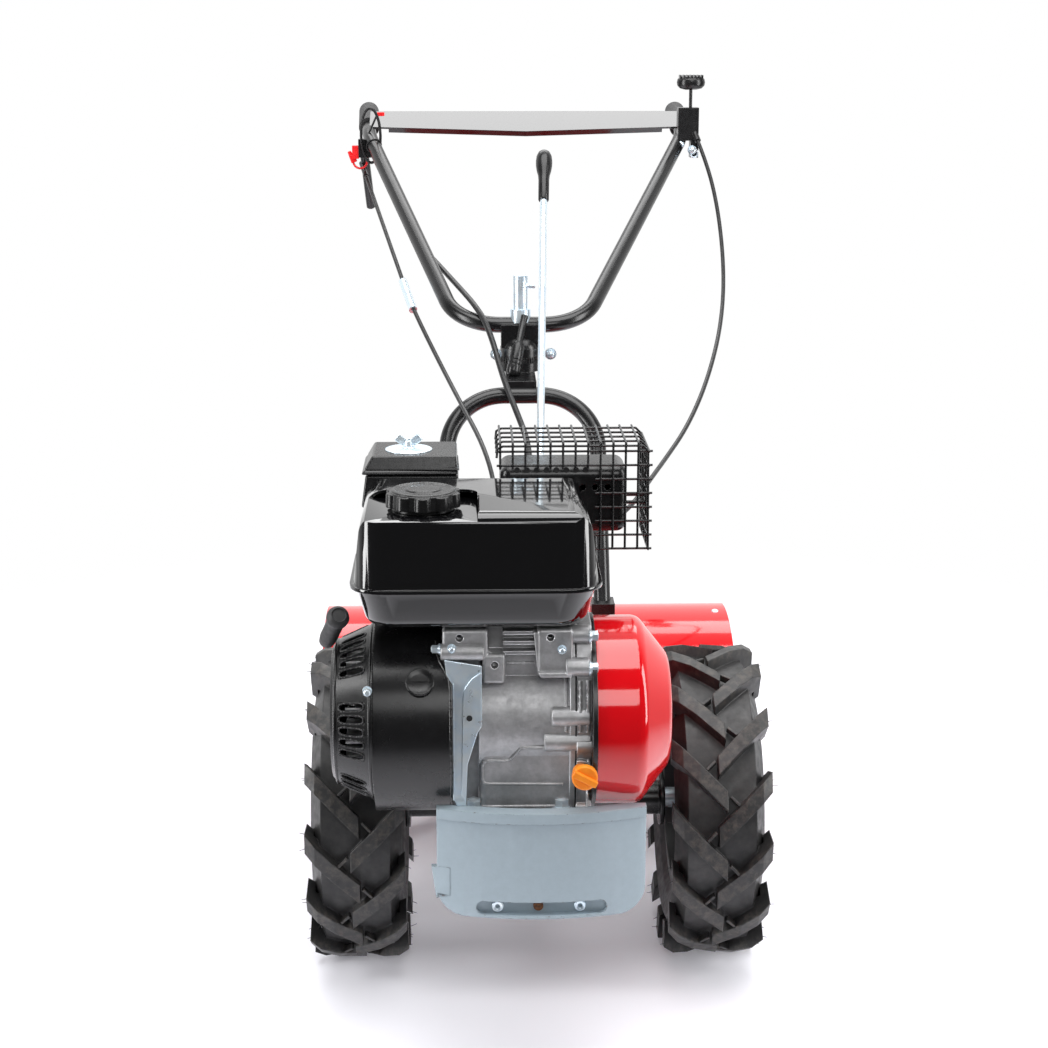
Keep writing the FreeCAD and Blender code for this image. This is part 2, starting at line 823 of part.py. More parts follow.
cable_radius, bundle_radius = 3, 4
throttle_route = along([
    (278, 806, 950), (290, 768, 914), (298, 705, 860), (299, 635, 801), (293, 563, 750),
    (280, 490, 707), (261, 415, 670), (237, 340, 634), (208, 265, 603), (176, 190, 582),
    (146, 105, 570), (120, 30, 558), (84, -20, 543), (38, -42, 530), (-10, -54, 519),
    (-56, -68, 510), (-105, -92, 505)])
clutch_route = along([
    (-237, 830, 896), (-173, 560, 765), (-157, 500, 732), (-101, 330, 650), (-49, 120, 593),
    (-44, 40, 520), (-42, 10, 440), (-42, 0, 370), (-42, -1, 322)])
bundle_route = along([
    (-164, 644, 824), (-145, 606, 808), (-124, 564, 791), (-106, 520, 777), (-89, 470, 765),
    (-72, 422, 752), (-57, 384, 735), (-46, 353, 710), (-38, 322, 684), (-30, 288, 662),
    (-16, 246, 632), (-4, 204, 606), (-1, 160, 584), (-8, 118, 550), (-15, 82, 490),
    (-20, 56, 425), (-22, 42, 370), (-22, 34, 320)])


# ---------------------------------------------------------------- engine

def crankcase():
    """The open casting: a barrel round the crank, a sump, an upper deck, bosses and a flange."""
    front, rear = behind(-d.case_front), behind(-d.case_rear)
    base, mid, top = d.engine_base, d.crank_height, d.case_top
    right, left, deck_right = d.case_right, d.case_left, d.case_right + 5
    barrel_radius, foot_height, flange_wall = d.case_front - d.crank_ahead, 10, 7
    deck_front, boss_rear = front + 25, front + 37
    pieces = [
        rod("crank_barrel", "x", (right, crank_y, mid), barrel_radius, left - right),
        soft_block("sump", (right, left), (front + 6, rear), (base, mid), 9),
        soft_block("foot", (right - 16, left), (front, rear), (base, base + foot_height), 3),
        soft_block("deck", (deck_right, left), (deck_front, rear), (mid, top), 6),
        block("shroud_flange", (d.shroud_inner, right + 2), (front + 29, rear),
              (base + 12, top - 18)),
        block("boss_neck", (d.shroud_inner, deck_right + 1), (front + 18, boss_rear),
              (top - 32, top - 7)),
        soft_block("boss_right", (-108, -60), (front + 2, front + 20), (top - 36, top - 3), 4),
        soft_block("boss_middle", (-66, -42), (front + 2, boss_rear), (top - 63, top - 30), 4),
        soft_block("boss_left", (-8, 30), (front + 2, boss_rear), (top - 54, top - 3), 4),
    ]
    hole_radius, hole_depth = 4, 14
    holes = [rod(f"boss_hole_{number}", "y", (x, front - 1, top - drop), hole_radius, hole_depth)
             for number, (x, drop) in enumerate(((-90, 12), (-53, 42), (6, 12)))]
    for number, drop in enumerate((10, 21, 32)):
        pieces.append(block(f"deck_rib_{number}", (-44, -6), (deck_front - 12, deck_front + 2),
                            (top - drop - 2, top - drop + 2)))
    boss_radius = 8
    for number, (start, rise) in enumerate(((8, 15), (0, -13))):
        pieces.append(rod(f"case_boss_{number}", "x", (start, front + 5, mid + rise),
                          boss_radius, left - start))
    flange = new_body("case_flange", 0, axle_y, 0)
    edge, end = -as_number(d.case_front), -as_number(d.case_rear) - 8
    outline = [(edge + 8, base + 2), (edge + 4, mid - 46), (edge - 2, mid - 24),
               (edge - 2, mid + 24), (edge + 6, mid + 74), (edge + 24, top - 4),
               (end, top - 4), (end, base + 2)]
    flange_pad = pad(flange, polygon(flange, "YZ_Plane", outline, left - flange_wall),
                     flange_wall)
    rounded(flange, flange_pad, 6, runs_along("x"))
    pieces.append(flange)
    behind_case = block("behind_case", (right, left), (rear, rear + 10), (mid - 40, mid + 40))
    sub_part("crankcase", cut("crankcase_cut", joined("crankcase_joined", pieces),
                              holes + [behind_case]))

    cover = new_body("crankcase_cover_body", 0, axle_y, 0)
    plate_inner = d.cover_inner - 5
    plate = pad(cover, polygon(cover, "YZ_Plane", outline, left), plate_inner - left)
    rounded(cover, plate, 6, runs_along("x"))
    screw_places = ((front + 25, top - 15), (front + 7, top - 49), (front - 1, mid - 16),
                    (front + 11, base + 16), (rear - 14, top - 15), (rear - 14, base + 16))
    lugs = [rod(f"cover_boss_{number}", "x", (left, y, z), boss_radius, plate_inner - left)
            for number, (y, z) in enumerate(screw_places)]
    filler = rod("dipstick_boss", "y", (dipstick_place[0], front - 6, dipstick_place[1]), 15, 30)
    heights = (base - 10, top + 8)
    room = block("plate_room", (plate_inner, plate_inner + 40), (front - 20, rear), heights)
    keep = block("case_room", (0, left), (front - 20, rear), heights)
    sub_part("crankcase_cover",
             cut("crankcase_cover_cut", joined("cover_joined", [cover, filler] + lugs),
                 [room, keep]))

    sheet_wall, plate_hole_radius = 3, 3.5
    side_plate = new_body("side_plate_body", 0, front - 3, 0)
    pad(side_plate, polygon(side_plate, "XZ_Plane",
                            [(-106, mid + 80), (-72, mid + 82), (-66, mid + 34),
                             (-69, mid - 36), (-84, base + 24), (-97, base + 24),
                             (-97, mid + 56)]), sheet_wall)
    hole = rod("side_plate_hole", "y", (-80.5, front - 8, mid + 16), plate_hole_radius, 10)
    fold = soft_block("side_plate_fold", (-98, -92), (front - 3, front + 29),
                      (base + 28, mid + 56), 1)
    sub_part("shroud_side_plate", cut("side_plate_cut",
                                      joined("side_plate_joined", [side_plate, fold]), [hole]))


def cylinder():
    core = block("cylinder_core", (-62, 40), (behind(-d.case_rear), behind(-90)), (396, 500))
    fins, fin_wall, pitch = [], 3, 13
    for number in range(6):
        front = behind(-d.case_rear + 12 + number * pitch)
        fins.append(block(f"fin_{number}", (-75, 50), (front, front + fin_wall), (386, 508)))
    sub_part("cylinder", joined("cylinder_joined", [core] + fins))

    cover = new_body("valve_cover_body", 0, behind(-90), 0)
    shell = pad(cover, polygon(cover, "XZ_Plane", [(-58, 402), (36, 402), (36, 494), (-58, 494)],
                               -32), 32)
    rounded(cover, shell, 8, runs_along("y"))
    sub_part("valve_cover", cover)


def recoil_drum(name, radius, outer, inner):
    return rod(name, "x", (outer, crank_y, d.crank_height), radius, inner - outer)


def cooling():
    shroud_drop, wall, intake_radius = 6, 3, 84

    def cowl(name, inset):
        outer, length = d.shroud_outer + inset, d.shroud_inner - d.shroud_outer - inset
        drum = rod(f"{name}_drum", "x",
                   (outer, behind(-d.crank_ahead + 11), d.crank_height - shroud_drop),
                   d.shroud_radius - inset, length)
        scroll = block(f"{name}_scroll", (outer, d.shroud_inner),
                       (behind(-250) + inset, behind(-152) - inset),
                       (400, d.crank_height + 101 - inset))
        return joined(f"{name}_joined", [drum, scroll])

    intake = rod("shroud_intake", "x", (d.shroud_outer, crank_y, d.crank_height),
                 intake_radius, wall)
    dimple = rod("shroud_dimple", "y", (-132, behind(-345), 453), 14, 18.5)
    sub_part("fan_shroud", cut("shroud_cut", cowl("shroud_outside", 0),
                               [cowl("shroud_inside", wall), intake, dimple]))

    body = new_body("recoil_body", 0, crank_y, d.crank_height)
    face_edge, rim_radius, rim_depth = d.recoil_radius - 25, d.recoil_radius - 18, 6
    outline = [(d.shroud_outer, d.recoil_radius), (d.recoil_outer + rim_depth, rim_radius),
               (d.recoil_outer, face_edge), (d.recoil_outer, 0), (d.recoil_outer + wall, 0),
               (d.recoil_outer + wall, face_edge - wall),
               (d.recoil_outer + rim_depth, rim_radius - wall),
               (d.shroud_outer, d.recoil_radius - wall)]
    revolved(body, polygon(body, "XZ_Plane", outline))
    slot_width, slot_start, slot_length, slot_depth = 9.5, 10, 27, 26
    groups, group_size, slot_pitch, first_group = 6, 5, 8.6, 85.6
    slots = []
    for group in range(groups):
        for number in range(group_size):
            slot = doc.addObject("Part::Box", f"recoil_slot_{group}_{number}")
            slot.Length, slot.Width, slot.Height = slot_length, slot_width, slot_depth
            angle = (first_group + 360 / groups * group
                     + (number - (group_size - 1) / 2) * slot_pitch)
            turn = Rotation(Vector(1, 0, 0), angle)
            middle = Vector(*map(as_number, (d.recoil_outer + slot_start, crank_y,
                                             d.crank_height)))
            foot = Vector(0, -slot_width / 2, as_number(face_edge))
            slot.Placement = Placement(middle + turn * foot, turn)
            slots.append(slot)
    sub_part("recoil_housing", cut("recoil_cut", body, [together("recoil_slots", slots)]))

    flywheel_inner = d.shroud_inner - 14
    turning = [recoil_drum("fan_disc", 66, d.shroud_outer - 22, d.shroud_outer),
               recoil_drum("flywheel_disc", intake_radius - 6, d.shroud_outer, flywheel_inner),
               recoil_drum("crank_end", 15, flywheel_inner, d.shroud_inner)]
    sub_part("flywheel_fan", joined("flywheel_joined", turning))

    grip = slanted_rod("starter_grip_bar", (-217, behind(-300), 520), (-235, behind(-248), 474),
                       11)
    room = new_body("recoil_room_body", 0, crank_y, d.crank_height)
    revolved(room, polygon(room, "XZ_Plane", [(d.shroud_outer, 0)] + outline[:4]))
    sub_part("starter_grip", cut("starter_grip_cut", grip, [room]))


cap_place = (-127, -284)
recess_depth = 9


def tank_halves(name, inset):
    """The upper shell and the bowl under it, as solids, with every wall moved inwards."""
    half = d.tank_width / 2 - inset
    front, rear = behind(-d.tank_front) + inset, behind(-d.tank_rear) - inset
    corner, top_side_round, top_end_round, bowl_round = 34, 26, 16, 16
    side_slope, bowl_inset, bowl_taper = 10, 2, -14
    shell_height = d.shell_height - inset
    height = as_number(shell_height)
    at_seam = (d.tank_middle, 0, tank_seam)
    along_x, along_y = runs_along("x"), runs_along("y")

    def plan(body, margin):
        return polygon(body, "XY_Plane",
                       [(-half - margin, front - margin), (half + margin, front - margin),
                        (half + margin, rear + margin), (-half - margin, rear + margin)])

    def upright(edge, middle):
        return abs((edge.Vertexes[-1].Point - edge.Vertexes[0].Point).z) > 1

    above = new_body(f"{name}_plan", *at_seam)
    rounded(above, pad(above, plan(above, 0), shell_height), corner - inset, upright)
    across = new_body(f"{name}_across", *at_seam)
    top_half = half - side_slope
    across_pad = pad(across, polygon(across, "XZ_Plane",
                                     [(-half, 0), (half, 0), (top_half, shell_height),
                                      (-top_half, shell_height)], -rear), rear - front)
    rounded(across, across_pad, top_side_round - inset,
            lambda e, m: m.z > height - 0.1 and along_y(e, m))
    lengthways = new_body(f"{name}_lengthways", *at_seam)
    length_pad = pad(lengthways, polygon(lengthways, "YZ_Plane",
                                         [(front, 0), (rear, 0), (rear, shell_height),
                                          (front, shell_height)], -half), half * 2)
    rounded(lengthways, length_pad, top_end_round - inset,
            lambda e, m: m.z > height - 0.1 and along_x(e, m))
    upper = common(f"{name}_upper", [above, across, lengthways])

    depth = d.bowl_depth - inset
    lower = new_body(f"{name}_lower", *at_seam)
    bowl = pad(lower, plan(lower, -bowl_inset), depth, bowl_taper)
    bowl.Reversed = True
    bowl_soft = rounded(lower, bowl, corner - inset, upright)
    rounded(lower, bowl_soft, bowl_round - inset, lambda e, m: m.z < 0.1 - as_number(depth))
    return [upper, lower]


def cap_recess(name, drop):
    """The corner of the upper shell that is pressed down round the filler cap."""
    recess = new_body(name, 0, axle_y, tank_top - recess_depth - drop)
    cap_x, cap_ahead = cap_place
    right, rear, reach, corner = cap_x + d.cap_radius + 16, cap_ahead + d.cap_radius + 10, 160, 16
    corners = [(cap_x - reach, cap_ahead - reach), (right, cap_ahead - reach), (right, rear),
               (cap_x - reach, rear)]
    floor_pad = pad(recess, polygon(recess, "XY_Plane", corners), recess_depth * 3)
    rounded(recess, floor_pad, corner, lambda e, m: runs_along("z")(e, m)
            and m.x > cap_x and m.y > as_number(cap_ahead))
    return recess


def fuel_tank():
    """Pressed upper shell and bowl joined at a seam, with a recess for the filler cap."""
    wall, lip, lip_wall, seam_round, filler_radius = 3, 4, 4, 38, 24
    half, front, rear = d.tank_width / 2, behind(-d.tank_front), behind(-d.tank_rear)
    seam = new_body("tank_seam_body", d.tank_middle, 0, tank_seam)
    outline = [(-half - lip, front - lip), (half + lip, front - lip),
               (half + lip, rear + lip), (-half - lip, rear + lip)]
    flange = pad(seam, polygon(seam, "XY_Plane", outline, -lip_wall / 2), lip_wall)
    rounded(seam, flange, seam_round, runs_along("z"))
    outside = cut("tank_pressed", joined("tank_joined", tank_halves("tank", 0) + [seam]),
                  [cap_recess("tank_recess", 0)])
    inside = cut("tank_room_pressed", joined("tank_room_joined", tank_halves("tank_room", wall)),
                 [cap_recess("tank_room_recess", wall)])
    cap_bottom = tank_top - recess_depth
    filler = rod("tank_filler", "z", (cap_place[0], behind(cap_place[1]), cap_bottom - wall),
                 filler_radius, wall)
    sub_part("fuel_tank", cut("tank_cut", outside, [inside, filler]))

    cap = new_body("fuel_cap_body", cap_place[0], behind(cap_place[1]), cap_bottom)
    rim = d.cap_radius
    profile = [(0, 0), (rim - 3, 0), (rim - 3, 4), (rim, 6), (rim, 16), (rim - 5, 21),
               (rim - 12, 23), (rim - 15, 20.5), (0, 20.5)]
    revolved(cap, polygon(cap, "XZ_Plane", profile), "V_Axis")
    lobe_count, notch_radius = 9, 4.5
    notches = []
    for number in range(lobe_count):
        turn = Rotation(Vector(0, 0, 1), 360 / lobe_count * number)
        spot = turn * Vector(as_number(rim) + 1.5, 0, 0)
        notches.append(rod(f"cap_notch_{number}", "z",
                           (cap_place[0] + spot.x, behind(cap_place[1] + spot.y),
                            cap_bottom + 5), notch_radius, 24))
    boss = rod("cap_boss", "z", (cap_place[0], behind(cap_place[1]), cap_bottom + 18), 14, 6)
    sub_part("fuel_cap", joined("cap_joined", [cut("cap_cut", cap, notches), boss]))


def intake():
    """Carburettor and intake stack, with the air cleaner on top."""
    duct = block("intake_duct", (-150, -75), (behind(-128), behind(-90)), (440, 470))
    stack = rod("intake_stack", "z", (-130, behind(-109), 455), 19, 120)
    stop = ferrule("throttle_stop", throttle_route[-1], throttle_route[-2], 16, 5)
    sub_part("carburettor", joined("carburettor_joined", [duct, stack, stop]))

    base_bottom, base_top, lid_top = 575, 638, 658
    base = new_body("air_cleaner_base_body", 0, axle_y, base_bottom)
    box = pad(base, polygon(base, "XY_Plane",
                            [(-196, -150), (-94, -150), (-94, -66), (-196, -66)]),
              base_top - base_bottom)
    rounded(base, box, 10, runs_along("z"))
    sub_part("air_cleaner_base", base)
    lid = new_body("air_cleaner_cover_body", 0, axle_y, base_top)
    plate = pad(lid, polygon(lid, "XY_Plane",
                             [(-200, -154), (-90, -154), (-90, -62), (-200, -62)]),
                lid_top - base_top)
    rounded(lid, plate, 12, runs_along("z"))
    sub_part("air_cleaner_cover", lid)
    centre = (-146, behind(-110))
    washer = rod("washer", "z", (*centre, lid_top), 30, 2)
    stud = rod("wing_stud", "z", (*centre, lid_top), 7, 12)
    wings = block("wings", (centre[0] - 17, centre[0] + 17), (centre[1] - 2, centre[1] + 2),
                  (lid_top + 7, lid_top + 19))
    sub_part("wing_nut", joined("wing_nut_joined", [washer, stud, wings]))


def exhaust():
    """The muffler's box, with a row of outlets in its front, on the exhaust pipe."""
    bottom, top, wall = 569, 646, 3
    across = (-44, 99)
    outlet_radius, outlet_height, outlet_pitch, outlet_count = 3.5, 622, 14, 8

    def box(name, inset):
        body = new_body(name, 0, axle_y, bottom + inset)
        left, right = across[0] + inset, across[1] - inset
        front, rear = -d.muffler_front + inset, -d.muffler_rear - inset
        shell = pad(body, polygon(body, "XY_Plane", [(left, front), (right, front),
                                                     (right, rear), (left, rear)]),
                    top - bottom - 2 * inset)
        rounded(body, shell, 12 - inset, lambda e, m: True)
        return body

    pipe = rod("exhaust_bar", "z", (10, behind(-113), 508), 15, bottom + wall - 508)
    outside = joined("muffler_joined", [box("muffler_outside", 0), pipe])
    middle = sum(across) / 2
    outlets = [rod(f"outlet_{i}", "y",
                   (middle + (i - (outlet_count - 1) / 2) * outlet_pitch,
                    behind(-d.muffler_front), outlet_height), outlet_radius, wall)
               for i in range(outlet_count)]
    sub_part("muffler", cut("muffler_cut", outside, [box("muffler_inside", wall)] + outlets))


def muffler_guard():
    """A cage of crossed wires over the top, the front and the left side of the muffler."""
    wire, pitch = d.guard_wire, 14
    front, rear, bottom, top = -158, -56, 552, 672
    first_x, count_x, side_x = -44, 12, 122
    tank_clear = 645
    wires = []

    def bar(x, y, z):
        spans = [(s - wire / 2, s + wire / 2) if not isinstance(s, tuple) else s
                 for s in (x, y, z)]
        spans[1] = (behind(spans[1][0]), behind(spans[1][1]))
        wires.append(block(f"wire_{len(wires)}", *spans))

    overhang = 4
    for i in range(count_x):
        x = first_x + i * pitch
        foot = bottom if x > 60 else tank_clear
        bar(x, (front - overhang, rear), top)
        bar(x, front, (foot, top + overhang))
    for i in range(7):
        y = front + 8 + i * pitch
        bar((first_x - overhang, side_x), y, top - 1)
        bar(side_x, y, (bottom, top))
    for i in range(10):
        z = top - 7 - i * pitch
        if z > bottom:
            left = first_x - overhang if z > tank_clear else 62
            bar((left, side_x + overhang), front, z)
            bar(side_x, (front - overhang, rear), z)
    for y in (-130, -92):
        bar((99, side_x), y, 600)
    sub_part("muffler_guard", joined("guard_joined", wires))


def dipstick():
    """The filler's plug, with a bar across its cap to turn it by."""
    start, cap_front = behind(-d.case_front - 20), behind(-d.case_front - 26)
    x, z = dipstick_place
    cap = rod("dipstick_cap", "y", (x, start, z), 11.5, 14)
    grip = doc.addObject("Part::Box", "dipstick_grip")
    grip.Length, grip.Width, grip.Height = 22, 8, 6
    grip.Placement.Rotation = Rotation(Vector(0, 1, 0), -35)
    place(grip, x - 10.7, cap_front, z - 8.8)
    sub_part("oil_dipstick", joined("dipstick_joined", [cap, grip]))


dipstick_place = (38, d.engine_base + 60)
crankcase()
cylinder()
cooling()
fuel_tank()
intake()
exhaust()
muffler_guard()
dipstick()


# ---------------------------------------------------------------- handles and controls

arch_middle, arch_half = -7.5, 100
arch_foot = (150, 385)


def handle_arch():
    top = (behind(d.arch_top_behind), d.arch_top_height)
    left, right = arch_middle + arch_half, arch_middle - arch_half
    route = [(right, behind(arch_foot[0]), arch_foot[1]), (right, *top), (left, *top),
             (left, behind(arch_foot[0]), arch_foot[1])]
    bend = 76
    sub_part("handle_arch", bent_tube("arch_tube", route, [bend, bend], d.tube_radius,
                                      d.tube_wall))
    room = bent_tube("arch_room", route, [bend, bend], d.tube_radius)

    beam = block("arch_beam", (right - 15, left + 15), (behind(130), behind(172)), (290, 330))
    link = block("arch_link", (-30, 30), (behind(60), behind(130)), (262, 300))
    feet = [block(f"arch_socket_{name}", (x - 15, x + 15), (behind(134), behind(168)),
                  (330, 402)) for name, x in (("right", right), ("left", left))]
    sub_part("arch_base", cut("arch_base_cut", joined("arch_base_joined", [beam, link] + feet),
                              [room]))
    return room


def swivel(arch_room, bar_room):
    """Toothed discs between the arch and the handlebar, with the nut and lever that clamp them."""
    y = behind(d.swivel_behind)
    x = -7
    disc_wall, disc_radius = 16, 28
    arm_bottom, arm_top = d.arch_top_height - 11, d.arch_top_height + 19
    seam, disc_top = arm_top + disc_wall, arm_top + disc_wall * 2
    arm = block("swivel_arm", (-28, 12), (behind(d.arch_top_behind), y + 30),
                (arm_bottom, arm_top))
    lower = rod("disc_lower", "z", (x, y, arm_top), disc_radius, disc_wall)
    sub_part("swivel_base", cut("swivel_base_cut", joined("swivel_joined", [arm, lower]),
                                [arch_room]))
    upper = rod("disc_upper", "z", (x, y, seam), disc_radius, disc_wall)
    saddle = block("saddle_block", (-34, 20), (y - 16, y + 16), (disc_top, swivel_height + 2))
    sub_part("handle_saddle", cut("saddle_cut", joined("saddle_joined", [upper, saddle]),
                                  [bar_room]))
    nut_bottom, collar_height = swivel_height + 4, 18
    tube_bottom = nut_bottom + collar_height
    collar = rod("nut_collar", "z", (x, y, nut_bottom), 14, collar_height)
    tube = rod("nut_tube", "z", (x, y, tube_bottom), 10, 46)
    pin = rod("nut_pin", "x", (x, y, tube_bottom + 32), 4, 20)
    sub_part("clamp_nut", cut("clamp_nut_cut", joined("clamp_nut_joined", [collar, tube, pin]),
                              [bar_room]))
    arm_points = [(x, y - 12, swivel_height + 17), (x, y - 42, swivel_height + 4),
                  (x - 5, y - 55, swivel_height - 56)]
    lever = bent_tube("clamp_rod", arm_points, [10], 5)
    grip = slanted_rod("clamp_grip_bar", (x - 1.5, y - 46, swivel_height - 14),
                       arm_points[2], 9)
    sub_part("clamp_lever", cut("clamp_lever_cut", joined("clamp_lever_joined", [lever, grip]),
                                [collar, bar_room]))


bend_behind, bend_height = 850, 957


def handlebar():
    low = (behind(d.swivel_behind), swivel_height)
    bend_y, bend_z = behind(bend_behind), bend_height
    end_y, end_z = bend_y + 180, bend_z + 28
    route = [(-240, end_y, end_z), (-232, bend_y, bend_z), (-93, *low), (79, *low),
             (258, bend_y, bend_z), (264, end_y, end_z)]
    bends = [150, 78, 78, 150]
    sub_part("handlebar", bent_tube("bar_tube", route, bends, d.tube_radius, d.tube_wall))
    room = bent_tube("bar_room", route, bends, d.tube_radius)

    grip_radius = 16
    for side, bend, end in (("right", route[1], route[0]), ("left", route[4], route[5])):
        bend, end = (Vector(*map(as_number, p)) for p in (bend, end))
        start = bend + (end - bend) * 0.32
        stop = end + (end - bend).normalize() * 3
        grip = slanted_rod(f"grip_{side}_bar", tuple(start), tuple(stop), grip_radius)
        sub_part(f"grip_{side}", cut(f"grip_{side}_cut", grip, [room]))

    length, depth, point, slope = 490, 62, 14, 27.5
    sheet_wall, lip_drop, lip_margin = 3, 6, 30
    lip_end = point * (1 - 2 * lip_margin / length)
    plate = new_body("cross_plate_body", -232, behind(855), 960)
    plate.Placement.Rotation = Rotation(Vector(1, 0, 0), slope)
    pad(plate, polygon(plate, "XY_Plane", [(0, point), (length / 2, 0), (length, point),
                                           (length, depth), (0, depth)]), sheet_wall)
    pad(plate, polygon(plate, "XY_Plane",
                       [(lip_margin, lip_end), (length / 2, 0), (length - lip_margin, lip_end),
                        (length - lip_margin, lip_end + sheet_wall), (length / 2, sheet_wall),
                        (lip_margin, lip_end + sheet_wall)], -lip_drop),
        lip_drop + 1)
    sub_part("cross_plate", cut("cross_plate_cut", plate, [room]))
    return room


def right_controls(bar_room):
    """Clutch lever and its trigger under the right-hand grip."""
    clamp_height = bend_height - 33
    clamp = block("clutch_clamp_block", (-248, -220),
                  (behind(bend_behind - 22), behind(bend_behind)),
                  (clamp_height, clamp_height + 28))
    sub_part("clutch_clamp", cut("clutch_clamp_cut", clamp, [bar_room]))
    lever = slanted_rod("clutch_lever_bar", (-240, behind(bend_behind), clamp_height + 6),
                        (-234, behind(bend_behind + 60), clamp_height - 82), 7)
    nipple = ferrule("clutch_nipple", *clutch_route[:2], 40, 4)
    sub_part("clutch_lever", cut("clutch_lever_cut", joined("clutch_joined", [lever, nipple]),
                                 [clamp, bar_room]))
    sub_part("clutch_trigger", block("trigger_block", (-258, -248),
                                     (behind(bend_behind - 18), behind(bend_behind - 6)),
                                     (clamp_height - 2, clamp_height + 18)))


def left_controls(bar_room):
    """Throttle bracket and its ball knob above the left-hand arm."""
    along = (behind(bend_behind - 36), behind(bend_behind - 10))
    plate_bottom = bend_height - 7
    plate_top = plate_bottom + 50
    plate = block("throttle_plate", (248, 280), along, (plate_bottom, plate_top))
    lug = block("throttle_lug", (268, 280), along, (plate_bottom - 26, plate_bottom))
    sleeve = ferrule("throttle_ferrule", *throttle_route[:2], 16, 5)
    sub_part("throttle_bracket",
             cut("throttle_bracket_cut", joined("throttle_joined", [plate, lug, sleeve]),
                 [bar_room]))
    knob = new_body("throttle_knob_body", 268, behind(bend_behind - 22), plate_top)
    outline = [(0, 0), (3, 0), (3, 22), (14, 24), (17, 32), (17, 42), (12, 50), (0, 52)]
    revolved(knob, polygon(knob, "XZ_Plane", outline), "V_Axis")
    sub_part("throttle_knob", knob)


def gear_lever():
    foot, tip = (2, behind(-20), 305), (29.5, behind(520), 953)
    run = [b - a for a, b in zip(map(as_number, foot), map(as_number, tip))]
    knob_share = 0.9
    seam = [as_number(a) + r * knob_share for a, r in zip(foot, run)]
    lever_radius, knob_radius = 5, 9.5
    lever = slanted_rod("gear_rod", foot, seam, lever_radius)
    base = rod("gear_base", "z", (2, behind(-20), d.gearbox_top), 16, 34)
    sub_part("gear_lever", cut("gear_lever_cut", joined("gear_joined", [lever, base]),
                               [gearbox_solid]))
    sub_part("gear_knob", slanted_rod("gear_knob_bar", seam, tip, knob_radius))


arch_solid = handle_arch()
bar_solid = handlebar()
swivel(arch_solid, bar_solid)
right_controls(bar_solid)
left_controls(bar_solid)
gear_lever()


# ---------------------------------------------------------------- control cables

def control_cables(bar_room):
    sub_part("throttle_cable", free_cord("throttle_run", throttle_route, cable_radius))
    clutch = free_cord("clutch_run", clutch_route, cable_radius)
    sub_part("clutch_cable", clutch)
    adjuster = slanted_rod("adjuster_bar", clutch_route[1], clutch_route[2], 6)
    sub_part("cable_adjuster", cut("adjuster_cut", adjuster, [clutch]))
    bundle = free_cord("bundle_run", bundle_route, bundle_radius)
    sub_part("centre_cable", bundle)

    start = Vector(*map(as_number, bundle_route[0]))
    clip = slanted_rod("clip_bar", tuple(start + Vector(-4, 14, 8)), tuple(start), 12)
    clip_room = [bar_room, bundle]
    top = d.gearbox_top
    sockets = [rod(f"socket_{name}", "z", (route[-1][0], route[-1][1], top), 7,
                   route[-1][2] - top)
               for name, route in (("clutch", clutch_route), ("bundle", bundle_route))]
    sub_part("cable_holders", cut("holders_cut", together("holders", [clip] + sockets),
                                  clip_room + [gearbox_solid]))


control_cables(bar_solid)


# ---------------------------------------------------------------- check and write

doc.recompute()
failed = [f"{obj.Name} {obj.State}" for obj in doc.Objects
          if "Invalid" in obj.State or "Error" in obj.State]
if failed:
    raise RuntimeError(f"failed: {failed}")
os.makedirs("parts", exist_ok=True)
for obj in subparts:
    if obj.Shape.isNull() or not obj.Shape.isValid():
        raise RuntimeError(f"{obj.Label} has no valid shape")
    obj.Shape.exportStep(f"parts/{obj.Label}.step")
print(len(subparts), "sub-parts written")
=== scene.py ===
# %% [markdown]
# # A walking garden tiller, dressed piece by piece
# The machine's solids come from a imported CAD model, which stays where it is. Each cell below
# gives a solid its finish, or builds a closer likeness of it around the same place.
# Lengths are written in millimetres, as on a maker's drawing, and `at` turns a place into
# Blender's metres. Places along the machine count from the wheel axle towards the rear, so
# that what stands ahead of the axle has a negative number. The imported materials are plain
# colours: they are cleared away, so that the finishes made below can take their names.

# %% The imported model
import bpy
import bmesh
import json
import math
import random
from mathutils import Matrix, Vector
from mathutils.bvhtree import BVHTree


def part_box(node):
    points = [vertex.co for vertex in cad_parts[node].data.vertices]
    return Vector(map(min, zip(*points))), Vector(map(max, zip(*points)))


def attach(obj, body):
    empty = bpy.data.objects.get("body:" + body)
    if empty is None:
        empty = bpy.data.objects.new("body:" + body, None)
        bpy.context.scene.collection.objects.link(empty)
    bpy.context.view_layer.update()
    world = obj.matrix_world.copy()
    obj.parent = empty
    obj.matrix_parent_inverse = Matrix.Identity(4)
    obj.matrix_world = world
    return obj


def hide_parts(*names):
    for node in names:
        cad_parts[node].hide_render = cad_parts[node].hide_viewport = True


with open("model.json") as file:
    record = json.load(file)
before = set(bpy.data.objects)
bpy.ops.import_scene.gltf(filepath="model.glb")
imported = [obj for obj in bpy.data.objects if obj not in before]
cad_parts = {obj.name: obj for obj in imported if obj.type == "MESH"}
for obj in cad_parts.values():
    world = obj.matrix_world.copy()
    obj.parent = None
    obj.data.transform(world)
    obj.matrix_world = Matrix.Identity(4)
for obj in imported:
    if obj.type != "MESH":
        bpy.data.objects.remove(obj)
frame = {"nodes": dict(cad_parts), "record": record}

for plain in list(bpy.data.materials):
    bpy.data.materials.remove(plain)

MM = 0.001
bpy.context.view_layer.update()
axle_low, axle_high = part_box("axles")
AXLE_Y = (axle_low.y + axle_high.y) / 2 / MM
TYRE_RADIUS = (axle_low.z + axle_high.z) / 2 / MM


